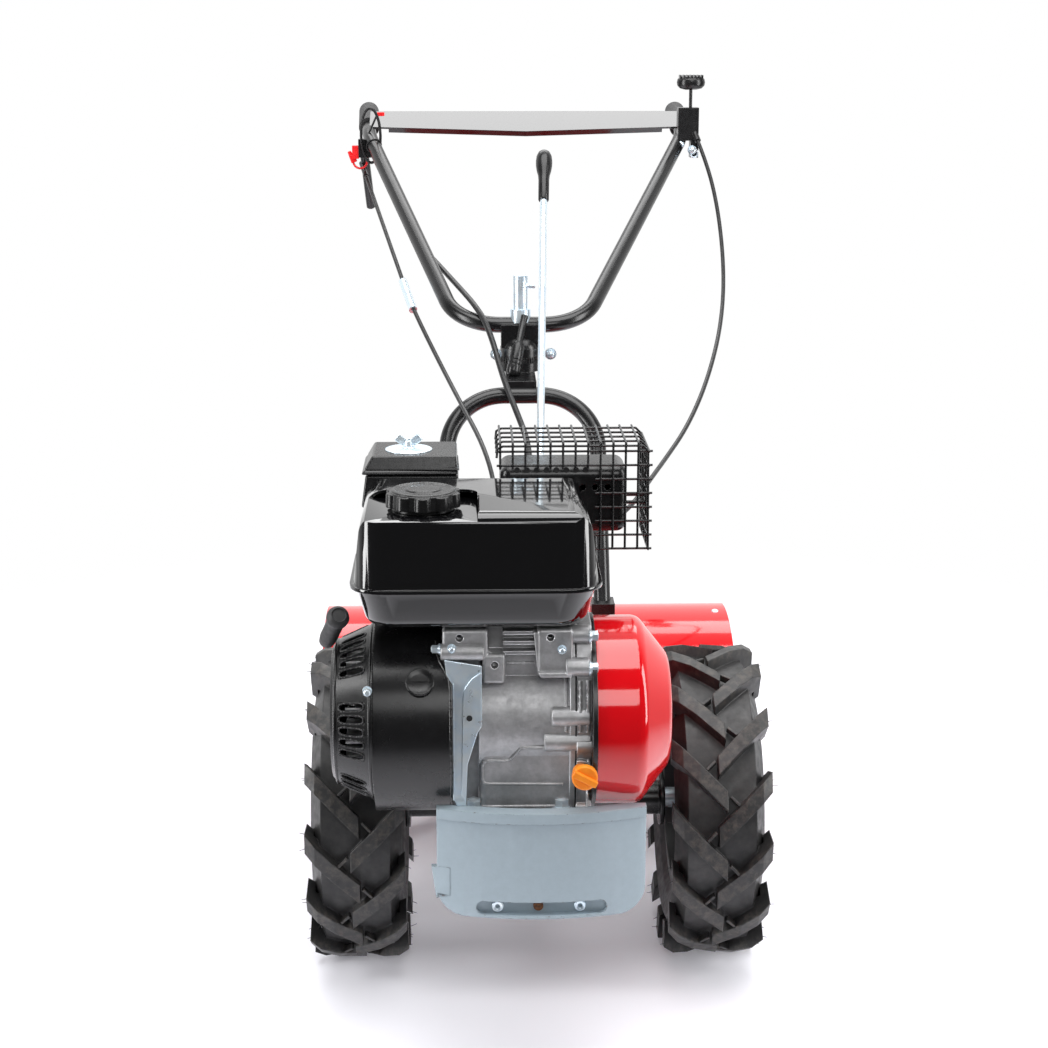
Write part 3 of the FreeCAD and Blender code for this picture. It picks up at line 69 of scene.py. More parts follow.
def at(x, behind, z):
    """A place in metres from millimetres, the middle one counted behind the axle."""
    return Vector((x, AXLE_Y + behind, z)) * MM


# %% [markdown]
# ## The camera
# A long lens from well above the tank, as a catalogue shows such machines: the front is seen
# nearly square on, and the handles rise behind it. The camera is turned by two angles, which
# could be read off a tripod, and isn't aimed at a target by a constraint.

# %% Camera
camera_data = bpy.data.cameras.new("camera")
camera_data.lens = 68.7
camera = bpy.data.objects.new("camera", camera_data)
bpy.context.collection.objects.link(camera)
camera.location = at(-77, -2333, 1127)
looking_down, turned_left = 14.06, 1.567
camera.rotation_euler = (math.radians(90 - looking_down), 0, math.radians(-turned_left))
bpy.context.scene.camera = camera
print("The camera stands", round(camera.location.length, 2), "m from the machine's foot")

# %% [markdown]
# ## Light and floor
# A studio for shiny black paint is mostly shape: broad soft panels whose reflections draw the
# edges, and a dark room in front so that flat black faces stay black. Area lights are used and
# not points or a sun, because a gloss paint mirrors a light's shape.

# %% Lights
view_settings = bpy.context.scene.view_settings
view_settings.view_transform = "Standard"


def area_light(name, place, target, size, power):
    """A rectangular soft light at a place in metres, turned to face its target."""
    data = bpy.data.lights.new(name, "AREA")
    data.shape = "RECTANGLE"
    data.size, data.size_y = size
    data.energy = power
    light = bpy.data.objects.new(name, data)
    bpy.context.collection.objects.link(light)
    light.location = place
    light.rotation_euler = (Vector(target) - Vector(place)).to_track_quat("-Z", "Y").to_euler()


middle = (0, 0, 0.5)
area_light("top_panel", (0.1, -0.6, 2.9), middle, (2.6, 2.0), 84)
area_light("front_panel", (0.6, -3.6, 2.3), middle, (1.8, 1.2), 30)
area_light("left_strip", (-2.3, -1.1, 1.0), middle, (0.7, 2.4), 56)
area_light("right_strip", (2.4, -1.0, 1.2), middle, (0.8, 2.4), 50)
area_light("rear_top_panel", (0, 1.75, 2.8), (0, 0.5, 0.9), (2.6, 1.0), 30)
print(len(bpy.data.lights), "soft lights stand round the machine")

# %% [markdown]
# The world could be an evenly white dome, but then every black face would turn grey. Here the
# dome's own direction drives its strength: one ramp along Y makes it dim ahead of the machine
# and bright behind it. Only the camera's own rays see plain white.

# %% World
def studio_world():
    """White to the camera; as light, dim ahead of the machine and bright behind it."""
    world = bpy.data.worlds.new("studio")
    bpy.context.scene.world = world
    world.use_nodes = True
    tree = world.node_tree
    tree.nodes.clear()
    place = tree.nodes.new("ShaderNodeTexCoord")
    parts = tree.nodes.new("ShaderNodeSeparateXYZ")
    tree.links.new(place.outputs["Generated"], parts.inputs[0])
    ramp = tree.nodes.new("ShaderNodeMapRange")
    ramp.interpolation_type = "SMOOTHSTEP"
    for socket, value in (("From Min", -0.1), ("From Max", 0.65),
                          ("To Min", 0.07), ("To Max", 1.0)):
        ramp.inputs[socket].default_value = value
    tree.links.new(parts.outputs["Y"], ramp.inputs["Value"])
    glow = tree.nodes.new("ShaderNodeBackground")
    tree.links.new(ramp.outputs[0], glow.inputs["Strength"])
    white = tree.nodes.new("ShaderNodeBackground")
    path = tree.nodes.new("ShaderNodeLightPath")
    mix = tree.nodes.new("ShaderNodeMixShader")
    tree.links.new(path.outputs["Is Camera Ray"], mix.inputs[0])
    tree.links.new(glow.outputs[0], mix.inputs[1])
    tree.links.new(white.outputs[0], mix.inputs[2])
    for shader in (glow, white):
        shader.inputs["Color"].default_value = (1, 1, 1, 1)
    output = tree.nodes.new("ShaderNodeOutputWorld")
    tree.links.new(mix.outputs[0], output.inputs[0])


studio_world()
print("The world has", len(bpy.context.scene.world.node_tree.nodes), "nodes")

# %% [markdown]
# A plain white plane would show in the tank's paint as a grey sheet. This disc is pale near
# the wheels and mixes into a transparent shader towards its rim.

# %% Floor
FLOOR_RADIUS, FADE_START, FADE_END = 1.8, 0.75, 1.7


def pale_floor():
    """A pale disc that keeps the soft shadow and turns clear towards its rim."""
    bm = bmesh.new()
    bmesh.ops.create_circle(bm, cap_ends=True, segments=96, radius=FLOOR_RADIUS)
    mesh = bpy.data.meshes.new("floor")
    bm.to_mesh(mesh)
    bm.free()
    floor = bpy.data.objects.new("floor", mesh)
    bpy.context.collection.objects.link(floor)
    material = bpy.data.materials.new("floor")
    material.use_nodes = True
    tree = material.node_tree
    shader = tree.nodes["Principled BSDF"]
    for socket, value in (("Base Color", (0.86, 0.855, 0.9, 1)), ("Roughness", 0.6),
                          ("Emission Color", (0.94, 0.92, 1, 1)), ("Emission Strength", 0.16),
                          ("Specular IOR Level", 0.2)):
        shader.inputs[socket].default_value = value
    place = tree.nodes.new("ShaderNodeTexCoord")
    length = tree.nodes.new("ShaderNodeVectorMath")
    length.operation = "LENGTH"
    tree.links.new(place.outputs["Object"], length.inputs[0])
    fade = tree.nodes.new("ShaderNodeMapRange")
    fade.interpolation_type = "SMOOTHSTEP"
    fade.inputs["From Min"].default_value = FADE_START
    fade.inputs["From Max"].default_value = FADE_END
    tree.links.new(length.outputs["Value"], fade.inputs["Value"])
    clear = tree.nodes.new("ShaderNodeBsdfTransparent")
    mix = tree.nodes.new("ShaderNodeMixShader")
    tree.links.new(fade.outputs[0], mix.inputs[0])
    tree.links.new(shader.outputs[0], mix.inputs[1])
    tree.links.new(clear.outputs[0], mix.inputs[2])
    tree.links.new(mix.outputs[0], tree.nodes["Material Output"].inputs[0])
    mesh.materials.append(material)


pale_floor()
print("The floor is clear from", FADE_END, "m outwards")

# %% [markdown]
# ## Finishes
# Every finish is one Principled shader fed by a few noise patterns in object coordinates, so
# the grain has its real size on every piece. An image could do the same, but it would need
# unwrapping and would blur close up. `Finish` keeps the wiring short: it makes the shader,
# gives out patterns, and turns them into colour, roughness and relief. Its Bevel node rounds
# the shading of sharp edges, so that they catch a line of light as real ones do.

# %% Finish helper
class Finish:
    """A material made of one shader and the patterns that feed it."""

    def __init__(self, name, colour, roughness, metallic=0.0, coat=0.0, specular=0.5,
                 soft_mm=0.8):
        self.material = bpy.data.materials.new(name)
        self.material.use_nodes = True
        self.tree = self.material.node_tree
        self.shader = self.tree.nodes["Principled BSDF"]
        self.height = self.node("Bevel", samples=8, Radius=soft_mm * MM).outputs[0]
        for socket, value in (("Base Color", (*colour, 1)), ("Roughness", roughness),
                              ("Metallic", metallic), ("Coat Weight", coat),
                              ("Coat Roughness", 0.04), ("Specular IOR Level", specular)):
            self.shader.inputs[socket].default_value = value
        self.wire(self.height, self.shader.inputs["Normal"])
        self.wire(self.height, self.shader.inputs["Coat Normal"])

    def wire(self, source, target):
        self.tree.links.new(source, target)

    def node(self, kind, **values):
        made = self.tree.nodes.new("ShaderNode" + kind)
        for name, value in values.items():
            if hasattr(made, name):
                setattr(made, name, value)
            else:
                made.inputs[name.replace("_", " ")].default_value = value
        return made

    def noise(self, size_mm, detail=3.0, rough=0.55):
        """Soft clouds whose largest are about as wide as the size given."""
        pattern = self.node("TexNoise", Scale=1 / (size_mm * MM), Detail=detail, Roughness=rough)
        self.wire(self.node("TexCoord").outputs["Object"], pattern.inputs["Vector"])
        return pattern.outputs["Fac"]

    def between(self, source, low, high, to_low=0.0, to_high=1.0):
        """The part of a pattern from low to high, stretched to a range of its own."""
        scaled = self.node("MapRange")
        for socket, value in (("From Min", low), ("From Max", high),
                              ("To Min", to_low), ("To Max", to_high)):
            scaled.inputs[socket].default_value = value
        self.wire(source, scaled.inputs["Value"])
        return scaled.outputs[0]

    def combine(self, operation, first, second):
        result = self.node("Math", operation=operation)
        for socket, value in zip(result.inputs, (first, second)):
            if isinstance(value, (int, float)):
                socket.default_value = value
            else:
                self.wire(value, socket)
        return result.outputs[0]

    def blend(self, factor, first, second):
        """A colour between two, each a tuple or another pattern's colour."""
        mix = self.node("Mix", data_type="RGBA")
        self.wire(factor, mix.inputs["Factor"])
        for socket, value in zip((mix.inputs[6], mix.inputs[7]), (first, second)):
            if isinstance(value, tuple):
                socket.default_value = (*value, 1)
            else:
                self.wire(value, socket)
        return mix.outputs[2]

    def colour(self, source):
        self.wire(source, self.shader.inputs["Base Color"])
        return self

    def roughness(self, source, low, high):
        self.wire(self.between(source, 0.3, 0.7, low, high), self.shader.inputs["Roughness"])
        return self

    def relief(self, source, depth_mm):
        bump = self.node("Bump", Strength=1.0, Distance=depth_mm * MM)
        self.wire(source, bump.inputs["Height"])
        self.wire(self.height, bump.inputs["Normal"])
        self.height = bump.outputs[0]
        self.wire(self.height, self.shader.inputs["Normal"])
        return self

    def tread(self):
        """1 on the outer face of a tyre's bars and 0 on its flanks and valleys."""
        mapping = self.node("Mapping")
        mapping.inputs["Location"].default_value = (0, -AXLE_Y * MM, -TYRE_RADIUS * MM)
        self.wire(self.node("TexCoord").outputs["Object"], mapping.inputs[0])
        flat = self.node("VectorMath", operation="MULTIPLY")
        flat.inputs[1].default_value = (0, 1, 1)
        self.wire(mapping.outputs[0], flat.inputs[0])
        length = self.node("VectorMath", operation="LENGTH")
        self.wire(flat.outputs[0], length.inputs[0])
        valley, bar_face = (TYRE_RADIUS - 14) * MM, (TYRE_RADIUS - 8) * MM
        return self.between(length.outputs["Value"], valley, bar_face, 0.12, 1.0)

    def edges(self, radius_mm, low=0.02, high=0.25):
        """1 along sharp edges and 0 on open faces, from how far a rounded normal turns."""
        soft = self.node("Bevel", samples=8, Radius=radius_mm * MM)
        true_normal = self.node("NewGeometry").outputs["Normal"]
        turn = self.node("VectorMath", operation="DOT_PRODUCT")
        self.wire(soft.outputs[0], turn.inputs[0])
        self.wire(true_normal, turn.inputs[1])
        return self.between(self.combine("SUBTRACT", 1.0, turn.outputs["Value"]), low, high)


# %% [markdown]
# ### Paints
# The tank, hood and belt cover carry sprayed enamel: a smooth coat with a faint orange-peel
# swell and the odd speck of dust. Tubes and brackets have a thinner satin coat. Both are the
# same shader; what tells them apart is a clear coat over the enamel and the satin's roughness.

# %% Paints
def enamel(name, colour, roughness, coat):
    """Sprayed gloss enamel with a faint orange-peel swell and a little dust."""
    paint = Finish(name, colour, roughness, coat=coat)
    dust = paint.between(paint.noise(0.9, 6), 0.62, 0.8, 0, 0.35)
    pale = tuple(min(1, c * 1.2 + 0.012) for c in colour)
    paint.colour(paint.blend(dust, colour, pale))
    paint.roughness(paint.noise(30, 4), roughness * 0.8, roughness * 1.5)
    paint.relief(paint.noise(2.2, 1), 0.012)
    return paint.material


def satin_paint(name, colour, roughness, soft_mm=1.4):
    """Thin satin paint with paler, worn clouds and an uneven gloss."""
    paint = Finish(name, colour, roughness, soft_mm=soft_mm)
    worn = tuple(min(1, c * 1.8 + 0.008) for c in colour)
    paint.colour(paint.blend(paint.between(paint.noise(14, 5), 0.5, 0.8, 0, 0.35), colour, worn))
    paint.roughness(paint.noise(24, 3), roughness * 0.9, roughness * 1.12)
    paint.relief(paint.noise(1.6, 1), 0.002)
    return paint.material


tube_black = satin_paint("tube_black", (0.006, 0.006, 0.0065), 0.24, soft_mm=0.1)
gloss_red = enamel("gloss_red", (0.6, 0.002, 0.006), 0.08, 0.35)
gloss_black = enamel("gloss_black", (0.003, 0.003, 0.0035), 0.09, 0.7)
satin_black = satin_paint("satin_black", (0.006, 0.006, 0.0065), 0.26)
rim_black = satin_paint("rim_black", (0.014, 0.014, 0.015), 0.38)
forged_black = satin_paint("forged_black", (0.02, 0.02, 0.022), 0.42)
print(len(bpy.data.materials), "materials so far, the floor's among them")

# %% [markdown]
# ### Cast and plated metal
# Cast aluminium is matt, pitted and mottled, with a painted highlight: its edges are painted
# paler. The front weight is cast iron under blue-grey paint with rust in its chips. Zinc plate is
# bright with a faint blue bloom. `edges` steers the highlight and the chips; noise breaks up
# chips.

# %% Metals
def casting(name, colour, dark):
    metal = Finish(name, colour, 0.42, metallic=0.75, soft_mm=1.6)
    cloud = metal.between(metal.noise(26, 6, rough=0.65), 0.35, 0.7)
    stain = metal.between(metal.noise(5, 6), 0.45, 0.75, 0, 0.6)
    body = metal.blend(stain, metal.blend(cloud, colour, dark), dark)
    # Painted highlight: the colour turns paler along the edges, as if light caught them.
    edge_highlight_colour = tuple(min(1, c * 1.7) for c in colour)
    metal.colour(metal.blend(metal.edges(2.0, 0.01, 0.14), body, edge_highlight_colour))
    metal.roughness(metal.noise(7, 5), 0.4, 0.56)
    metal.relief(metal.noise(1.4, 4, rough=0.7), 0.1)
    return metal.material


def painted_iron(name, colour):
    iron = Finish(name, colour, 0.4, soft_mm=2.5)
    mottle = iron.between(iron.noise(9, 6, rough=0.7), 0.35, 0.7)
    paint = iron.blend(mottle, colour, tuple(c * 0.93 for c in colour))
    chips = iron.combine("MULTIPLY", iron.between(iron.noise(6, 5, rough=0.7), 0.56, 0.6),
                         iron.edges(2.5, 0.04, 0.16))
    iron.colour(iron.blend(chips, paint, (0.09, 0.05, 0.03)))
    iron.roughness(iron.noise(4, 4), 0.32, 0.5)
    iron.relief(iron.noise(7, 3), 0.16).relief(iron.noise(1.1, 2), 0.02)
    return iron.material


def zinc_plate(name, colour):
    zinc = Finish(name, colour, 0.32, metallic=0.72, soft_mm=0.15)
    bloom = zinc.between(zinc.noise(18, 4), 0.35, 0.7)
    cool = tuple(c * f for c, f in zip(colour, (0.85, 0.93, 1.02)))
    zinc.colour(zinc.blend(bloom, colour, cool))
    zinc.roughness(zinc.noise(14, 3), 0.26, 0.36)
    return zinc.material


cast_aluminium = casting("cast_aluminium", (0.52, 0.52, 0.53), (0.34, 0.34, 0.345))
grey_casting = casting("grey_casting", (0.2, 0.2, 0.205), (0.11, 0.11, 0.115))
casting_blue = painted_iron("casting_blue", (0.35, 0.425, 0.475))
zinc = zinc_plate("zinc", (0.82, 0.9, 0.94))
print("The zinc has", len(zinc.node_tree.nodes), "nodes, cast aluminium",
      len(cast_aluminium.node_tree.nodes))

# %% [markdown]
# ### Rubber and plastic
# Tyre rubber is the darkest grey, never black: it has a dusty bloom, brown-grey scuffs on the
# bars and a fine moulded grain. Plastics differ mainly in how even their gloss is. The scuffs
# could be painted by hand; `tread` finds the bars by their distance from the axle instead.

# %% Rubber and plastics
def moulded(name, colour, roughness, grain_mm=1.2, grain_depth=0.001):
    part = Finish(name, colour, roughness, specular=0.45, soft_mm=0.6)
    faded = tuple(min(1, c * 1.5 + 0.006) for c in colour)
    part.colour(part.blend(part.between(part.noise(16, 5), 0.4, 0.75, 0, 0.7), colour, faded))
    part.roughness(part.noise(5, 4), roughness * 0.85, roughness * 1.2)
    part.relief(part.noise(grain_mm, 3), grain_depth)
    return part.material


def tyre_rubber(name):
    rubber = Finish(name, (0.02, 0.02, 0.021), 0.5, soft_mm=2.2)
    bloom = rubber.between(rubber.noise(34, 6, rough=0.7), 0.42, 0.68)
    scuff = rubber.between(rubber.noise(9, 5, rough=0.7), 0.45, 0.68, 0, 0.55)
    body = rubber.blend(bloom, (0.014, 0.014, 0.015), (0.034, 0.033, 0.033))
    worn = rubber.combine("MULTIPLY", scuff, rubber.tread())
    rubber.colour(rubber.blend(worn, body, (0.1, 0.085, 0.072)))
    rubber.roughness(rubber.noise(11, 5), 0.36, 0.6)
    rubber.relief(rubber.noise(1.2, 3), 0.03).relief(rubber.noise(13, 3), 0.2)
    return rubber.material


tyre = tyre_rubber("tyre")
rubber = moulded("rubber", (0.02, 0.02, 0.021), 0.55, 0.9, 0.08)
black_plastic = moulded("black_plastic", (0.007, 0.007, 0.0075), 0.26)
cable_black = moulded("cable_black", (0.006, 0.006, 0.0065), 0.34)
orange_plastic = moulded("orange_plastic", (0.9, 0.24, 0.012), 0.34)
red_plastic = moulded("red_plastic", (0.68, 0.01, 0.012), 0.36)
print("The tyres' rubber has", len(tyre.node_tree.nodes), "nodes")

# %% [markdown]
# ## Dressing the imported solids
# The record says which finish each solid has, so one loop gives every node its material, and
# a node that is renamed or added later is dressed too. The two bent tubes get a glossier black
# of their own. Pieces built later replace some of these nodes and take the same finish.

# %% Finish of every node
finishes = {m.name: m for m in (
    gloss_red, gloss_black, satin_black, rim_black, forged_black, cast_aluminium, grey_casting,
    casting_blue, zinc, tyre, rubber, black_plastic, cable_black, orange_plastic, red_plastic)}
slot_of = {part["node"]: part["material_slot"] for part in frame["record"]["subparts"]}
body_of = {node: body for body, nodes in frame["record"]["behaviour"]["bodies"].items()
           for node in nodes}


def smooth_faces(mesh, angle=35):
    mesh.set_sharp_from_angle(angle=math.radians(angle))
    mesh.polygons.foreach_set("use_smooth", [True] * len(mesh.polygons))


for node, solid in frame["nodes"].items():
    solid.data.materials.clear()
    solid.data.materials.append(finishes[slot_of[node]])

for node in ("handlebar", "handle_arch"):
    frame["nodes"][node].data.materials[0] = tube_black
print(len(frame["nodes"]), "nodes have their finish")

# %% [markdown]
# ## Building new pieces
# A new piece starts as a bmesh, which is built up with operators and has no object yet. `done`
# turns it into one: its doubles are merged and its faces turned outwards, a Bevel modifier
# softens its edges where a width is given, and it rides on the body of its CAD node. It takes
# that node's finish, or another, and may be shown instead of the node.

# %% Finishing a piece
def done(bm, name, node, material=None, smooth=35, width=0.0, rounds=2, instead=False):
    """A finished object from a bmesh: normals out, edges softened, riding on its body."""
    bmesh.ops.remove_doubles(bm, verts=bm.verts, dist=0.00001)
    bmesh.ops.recalc_face_normals(bm, faces=bm.faces)
    mesh = bpy.data.meshes.new(name)
    bm.to_mesh(mesh)
    bm.free()
    smooth_faces(mesh, smooth)
    piece = bpy.data.objects.new(name, mesh)
    bpy.context.collection.objects.link(piece)
    slot = slot_of[node]
    if material is not None and material.name in slot_of.values():
        slot = material.name
    mesh.materials.append(material or finishes[slot])
    if width:
        soft = piece.modifiers.new("soft_edges", "BEVEL")
        soft.width, soft.segments = width * MM, rounds
        soft.limit_method, soft.angle_limit = "ANGLE", math.radians(30)
        soft.harden_normals = True
    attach(piece, body_of[node])
    if instead:
        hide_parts(node)
    print(name, "has", len(mesh.polygons), "faces and rides on", body_of[node])


# %% [markdown]
# ## Shapes to build with
# Fasteners, wires, bosses and knobs are all made of a few turned or extruded forms. These verbs
# wrap bmesh's own operators, take millimetres, and stand each form on a place and a direction.
# A turned form could be a Screw modifier and a wire a curve, but as bmesh they all add to one
# mesh, so that a whole set of fittings is a single piece.

# %% Shape verbs
RIGHT, LEFT = Vector((-1, 0, 0)), Vector((1, 0, 0))
FRONT, REAR = Vector((0, -1, 0)), Vector((0, 1, 0))
UP, DOWN = Vector((0, 0, 1)), Vector((0, 0, -1))


def standing(place, toward):
    """The transform that stands a shape built up the z axis on a place, pointing a way."""
    return Matrix.Translation(place) @ toward.to_track_quat("Z", "Y").to_matrix().to_4x4()


def post(bm, place, toward, radius, height, top=None, sides=24):
    """A cylinder, cone or hexagon standing on its place. Gives back the middle of its top."""
    toward = toward.normalized()
    end = place + toward * height * MM
    bmesh.ops.create_cone(bm, cap_ends=True, segments=sides, radius1=radius * MM,
                          radius2=(radius if top is None else top) * MM, depth=height * MM,
                          matrix=standing((place + end) / 2, toward))
    return end


def turned(bm, place, toward, profile, sides=32, squash=1.0):
    """A turned form from (radius, height) points, stood on its place."""
    part = bmesh.new()
    points = [part.verts.new((radius * MM, 0, height * MM)) for radius, height in profile]
    outline = [part.edges.new(pair) for pair in zip(points, points[1:])]
    bmesh.ops.spin(part, geom=points + outline, cent=(0, 0, 0), axis=(0, 0, 1),
                   angle=2 * math.pi, steps=sides, use_merge=True)
    part.transform(standing(place, toward) @ Matrix.Diagonal((1, squash, 1, 1)))
    made = bpy.data.meshes.new("turned")
    part.to_mesh(made)
    part.free()
    bm.from_mesh(made)
    bpy.data.meshes.remove(made)


def slab(bm, middle, size, turn=None):
    """A box about its middle, its size in millimetres."""
    turn = turn or Matrix.Identity(4)
    scale = Matrix.Diagonal((*(Vector(size) * MM), 1))
    return bmesh.ops.create_cube(bm, size=1, matrix=Matrix.Translation(middle) @ turn @ scale)


def wire(bm, points, radius, sides=8):
    """A bent rod: straight runs with a ball in each bend."""
    for start, end in zip(points, points[1:]):
        run = end - start
        post(bm, start, run, radius, run.length / MM, sides=sides)
    for bend in points[1:-1]:
        bmesh.ops.create_icosphere(bm, subdivisions=1, radius=radius * MM,
                                   matrix=Matrix.Translation(bend))


def chain(bm, points, radius):
    """A run of short rods from point to point, for a curve as fine as its steps."""
    for start, end in zip(points, points[1:]):
        wire(bm, [start, end], radius)


def ring(bm, place, toward, radius, tube, sides=96):
    """A round bead laid in a circle about its place."""
    section = [(radius + tube * math.cos(t), tube * math.sin(t))
               for t in (math.tau * step / 8 for step in range(9))]
    turned(bm, place, toward, section, sides)


def plate(bm, outline, along, thickness):
    """A sheet cut to an (x, z) outline, its face turned to the front."""
    face = bm.faces.new([bm.verts.new(at(x, along, z)) for x, z in outline])
    moved = bmesh.ops.extrude_face_region(bm, geom=[face])["geom"]
    bmesh.ops.translate(bm, verts=[v for v in moved if isinstance(v, bmesh.types.BMVert)],
                        vec=REAR * thickness * MM)


print("Verbs ready: post, turned, slab, wire, chain, ring and plate")

# %% [markdown]
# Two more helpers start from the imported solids. A copy can be reshaped while its node stays
# untouched, and a ray cast from the front finds where a small form has to sit on a curved
# casting, which is surer than working out the place by hand.

# %% Copies and surface places
def solid_copy(node):
    """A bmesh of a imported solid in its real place, with its doubled corners merged."""
    bm = bmesh.new()
    solid = frame["nodes"][node]
    bm.from_mesh(solid.data)
    bm.transform(solid.matrix_world)
    bmesh.ops.remove_doubles(bm, verts=bm.verts, dist=0.00001)
    return bm


def front_finder(node):
    """A function that gives the place on a solid's front at an x and a z."""
    bm = solid_copy(node)
    tree = BVHTree.FromBMesh(bm)
    bm.free()

    def find(x, z, lift=0.0):
        spot = tree.ray_cast(at(x, -600, z), REAR)[0]
        return spot + FRONT * lift * MM
    return find


print("A ray meets the crankcase at", front_finder("crankcase")(0, 400))

# %% [markdown]
# ## Fasteners
# The bolts that show are zinc-plated hexagon heads on flanges. They are small and alike, so
# one list says where each stands and which way it points, and one mesh holds them. An
# instance for each would be lighter, but a joined mesh exports as it is.

# %% Bolts on the chassis
def hex_bolt(bm, place, toward, across=10, head=6, washer=0):
    """A hexagon head on its flange, domed on top."""
    if washer:
        place = post(bm, place, toward, washer, 1.6)
    place = post(bm, place, toward, across * 0.62, 1.3)
    place = post(bm, place, toward, across / math.sqrt(3), head, sides=6)
    post(bm, place, toward, across * 0.44, 0.9, across * 0.3)


bolts = bmesh.new()
for x, along, z, toward, across, head, washer in (
        (-76, -317, 306, UP, 14, 8, 11),
        (19, -317, 306, UP, 14, 8, 11),
        (-110, -322, 488, RIGHT, 8, 6, 6),
        (-187, -334, 447, FRONT, 8, 5, 5),
        (-98, -326, 490, FRONT, 7, 3, 5),
        (18, -326, 488, FRONT, 7, 3, 5),
        (47, -318, 500, LEFT, 10, 6, 8),
        (47, -326, 467, LEFT, 10, 6, 8),
        (50, -332, 384, LEFT, 10, 5, 8),
        (-41, 390, 686, FRONT, 10, 6, 8),
        (34, 390, 686, FRONT, 10, 6, 8),
        (252, 822, 944, FRONT, 10, 6, 7),
        (270, 812, 936, FRONT, 10, 6, 7)):
    hex_bolt(bolts, at(x, along, z), toward, across, head, washer)
done(bolts, "chassis_bolts", "axles", material=zinc)

# %% [markdown]
# ## Crankcase detail
# A die casting is read by its small forms: rounded bosses where screws pass, beads along the
# joint, a raised rib round the flat panel, and the dark line where the two halves meet.
# They could be cut into the solid with booleans; laid on it with a rounded edge they look the
# same and stay simple. `front_finder` lays the beads and the joint on the casting's surface.

# %% Bosses and beads
on_case, on_cover = front_finder("crankcase"), front_finder("crankcase_cover")
bosses = bmesh.new()
for x, along, z, radius, length in (
        (-110, -321, 484.5, 9, 46), (7, -320.5, 411.5, 11, 42), (-1, -320.5, 383.5, 11, 51),
        (22, -321, 467, 10, 26), (24, -311, 500, 10, 24)):
    post(bosses, at(x, along, z), LEFT, radius, length, sides=32)
plate(bosses, [(-82, 506), (-54, 481), (-68, 473), (-90, 480)], -319, 12)
plate(bosses, [(-12, 506), (-8, 463), (-2, 459), (2, 463), (2, 506)], -322, 14)
plate(bosses, [(-8, 463), (30, 463), (30, 457), (-4, 457)], -329, 14)
for x in (-76, 19):
    post(bosses, at(x, -317, 299), UP, 13, 7, 12)
done(bosses, "case_bosses", "crankcase", width=2.0, rounds=3)

beads = bmesh.new()
panel = [(7, 377), (-22, 377.5), (-26, 376), (-36, 363), (-40, 361), (-60, 361.5), (-64, 360),
         (-66, 356), (-66, 340), (-64, 336), (-60, 335), (20, 334)]
wire(beads, [on_case(x, z, -1.0) for x, z in panel], 2.2)
wire(beads, [on_case(23, z, -0.4) for z in range(396, 458, 8)], 2.2)
wire(beads, [on_case(x, 465, -0.6) for x in range(-40, -8, 6)], 1.8)
for x in (37.5, 46):
    wire(beads, [on_cover(x, z, -0.2) for z in range(396, 458, 8)], 2.6)
wire(beads, [on_cover(47, z, -0.2) for z in range(300, 372, 8)], 2.6)
wire(beads, [on_case(x, 309, -0.8) for x in range(-66, 26, 6)], 2.2)
done(beads, "case_beads", "crankcase", smooth=60)

seal = bmesh.new()
wire(seal, [on_case(33.2, z, 0.3) for z in range(296, 508, 6)], 0.9)
for x, z in ((-90.4, 500.7), (6.4, 499.9)):
    post(seal, on_case(x, z), FRONT, 3, 0.4)
done(seal, "joint_line", "crankcase", material=rubber, smooth=60)

# %% [markdown]
# ## Axle tubes
# Between the wheels and the gearbox each half axle runs in a flanged tube. Each one is two
# posts, stood end to end on the axle's own line, so no outline has to be drawn for it.

# %% Axle tubes
tubes = bmesh.new()
for side in (RIGHT, LEFT):
    tube_end = post(tubes, at(108 * side.x, 0, TYRE_RADIUS), side, 21, 50, 21)
    post(tubes, tube_end - side * 4 * MM, side, 34, 6)
done(tubes, "axle_tubes", "gearbox", material=satin_black, width=1.5)

# %% [markdown]
# ## Side plate
# The zinc side plate is pressed from sheet: a flat margin against the shroud, a fold, and a
# raised strip with one hole. One sheet could be creased and bent, but two sheets with rounded
# edges, one proud of the other, catch the light along the same folds.

# %% Side plate
pressed = bmesh.new()
plate(pressed, [(-106, 478), (-104, 462), (-98, 450), (-97, 384), (-97.5, 322), (-94, 314),
                (-84, 314), (-82, 364), (-71, 399), (-66.5, 404), (-66.5, 471)], -328.5, 2)
plate(pressed, [(-67, 465), (-78, 457), (-85, 447), (-87, 436), (-88, 385), (-89, 326),
                (-84, 320), (-82, 362), (-71, 398), (-67, 404)], -331, 3)
slab(pressed, at(-97, -314, 386), (2, 30, 132))
done(pressed, "side_plate_folded", "shroud_side_plate", width=1.1, rounds=3, instead=True)
# Painted shade: the hole is a flat matt black disc for the dark space seen through it.
hole = bmesh.new()
post(hole, at(-80, -330.6, 414), FRONT, 3.2, 0.9)
done(hole, "side_plate_hole", "shroud_side_plate", material=rubber)

# %% [markdown]
# ## Shroud
# The shroud is pressed steel as well. Its free edge is rolled, which catches the light, and
# its front has one shallow round dimple. The edge is a wire laid along the surface, and the
# dimple a turned dish whose axis follows the slope of the shroud where it sits.

# %% Shroud edge and dimple
on_shroud = front_finder("fan_shroud")
edge = bmesh.new()
edge_line = [(-99.5, z) for z in range(300, 452, 8)] + [(-101, 456), (-106, 464), (-111, 471),
                                                        (-114, 478), (-114.5, 486)]
wire(edge, [on_shroud(x, z, -0.4) for x, z in edge_line], 1.9)
dimple_spot = on_shroud(-150, 453, -1.2)
dimple_spot.x = -132 * MM
lean = (on_shroud(-150, 458) - on_shroud(-150, 448)).cross(LEFT).normalized()
lean *= -1 if lean.y > 0 else 1
turned(edge, dimple_spot, lean, [(15.5, 0), (15, 1.5), (14.2, 2.1), (13.2, 1.7), (9, 0.6),
                                 (4, 0.1), (0, 0)], 48)
done(edge, "shroud_edge", "fan_shroud", smooth=60)

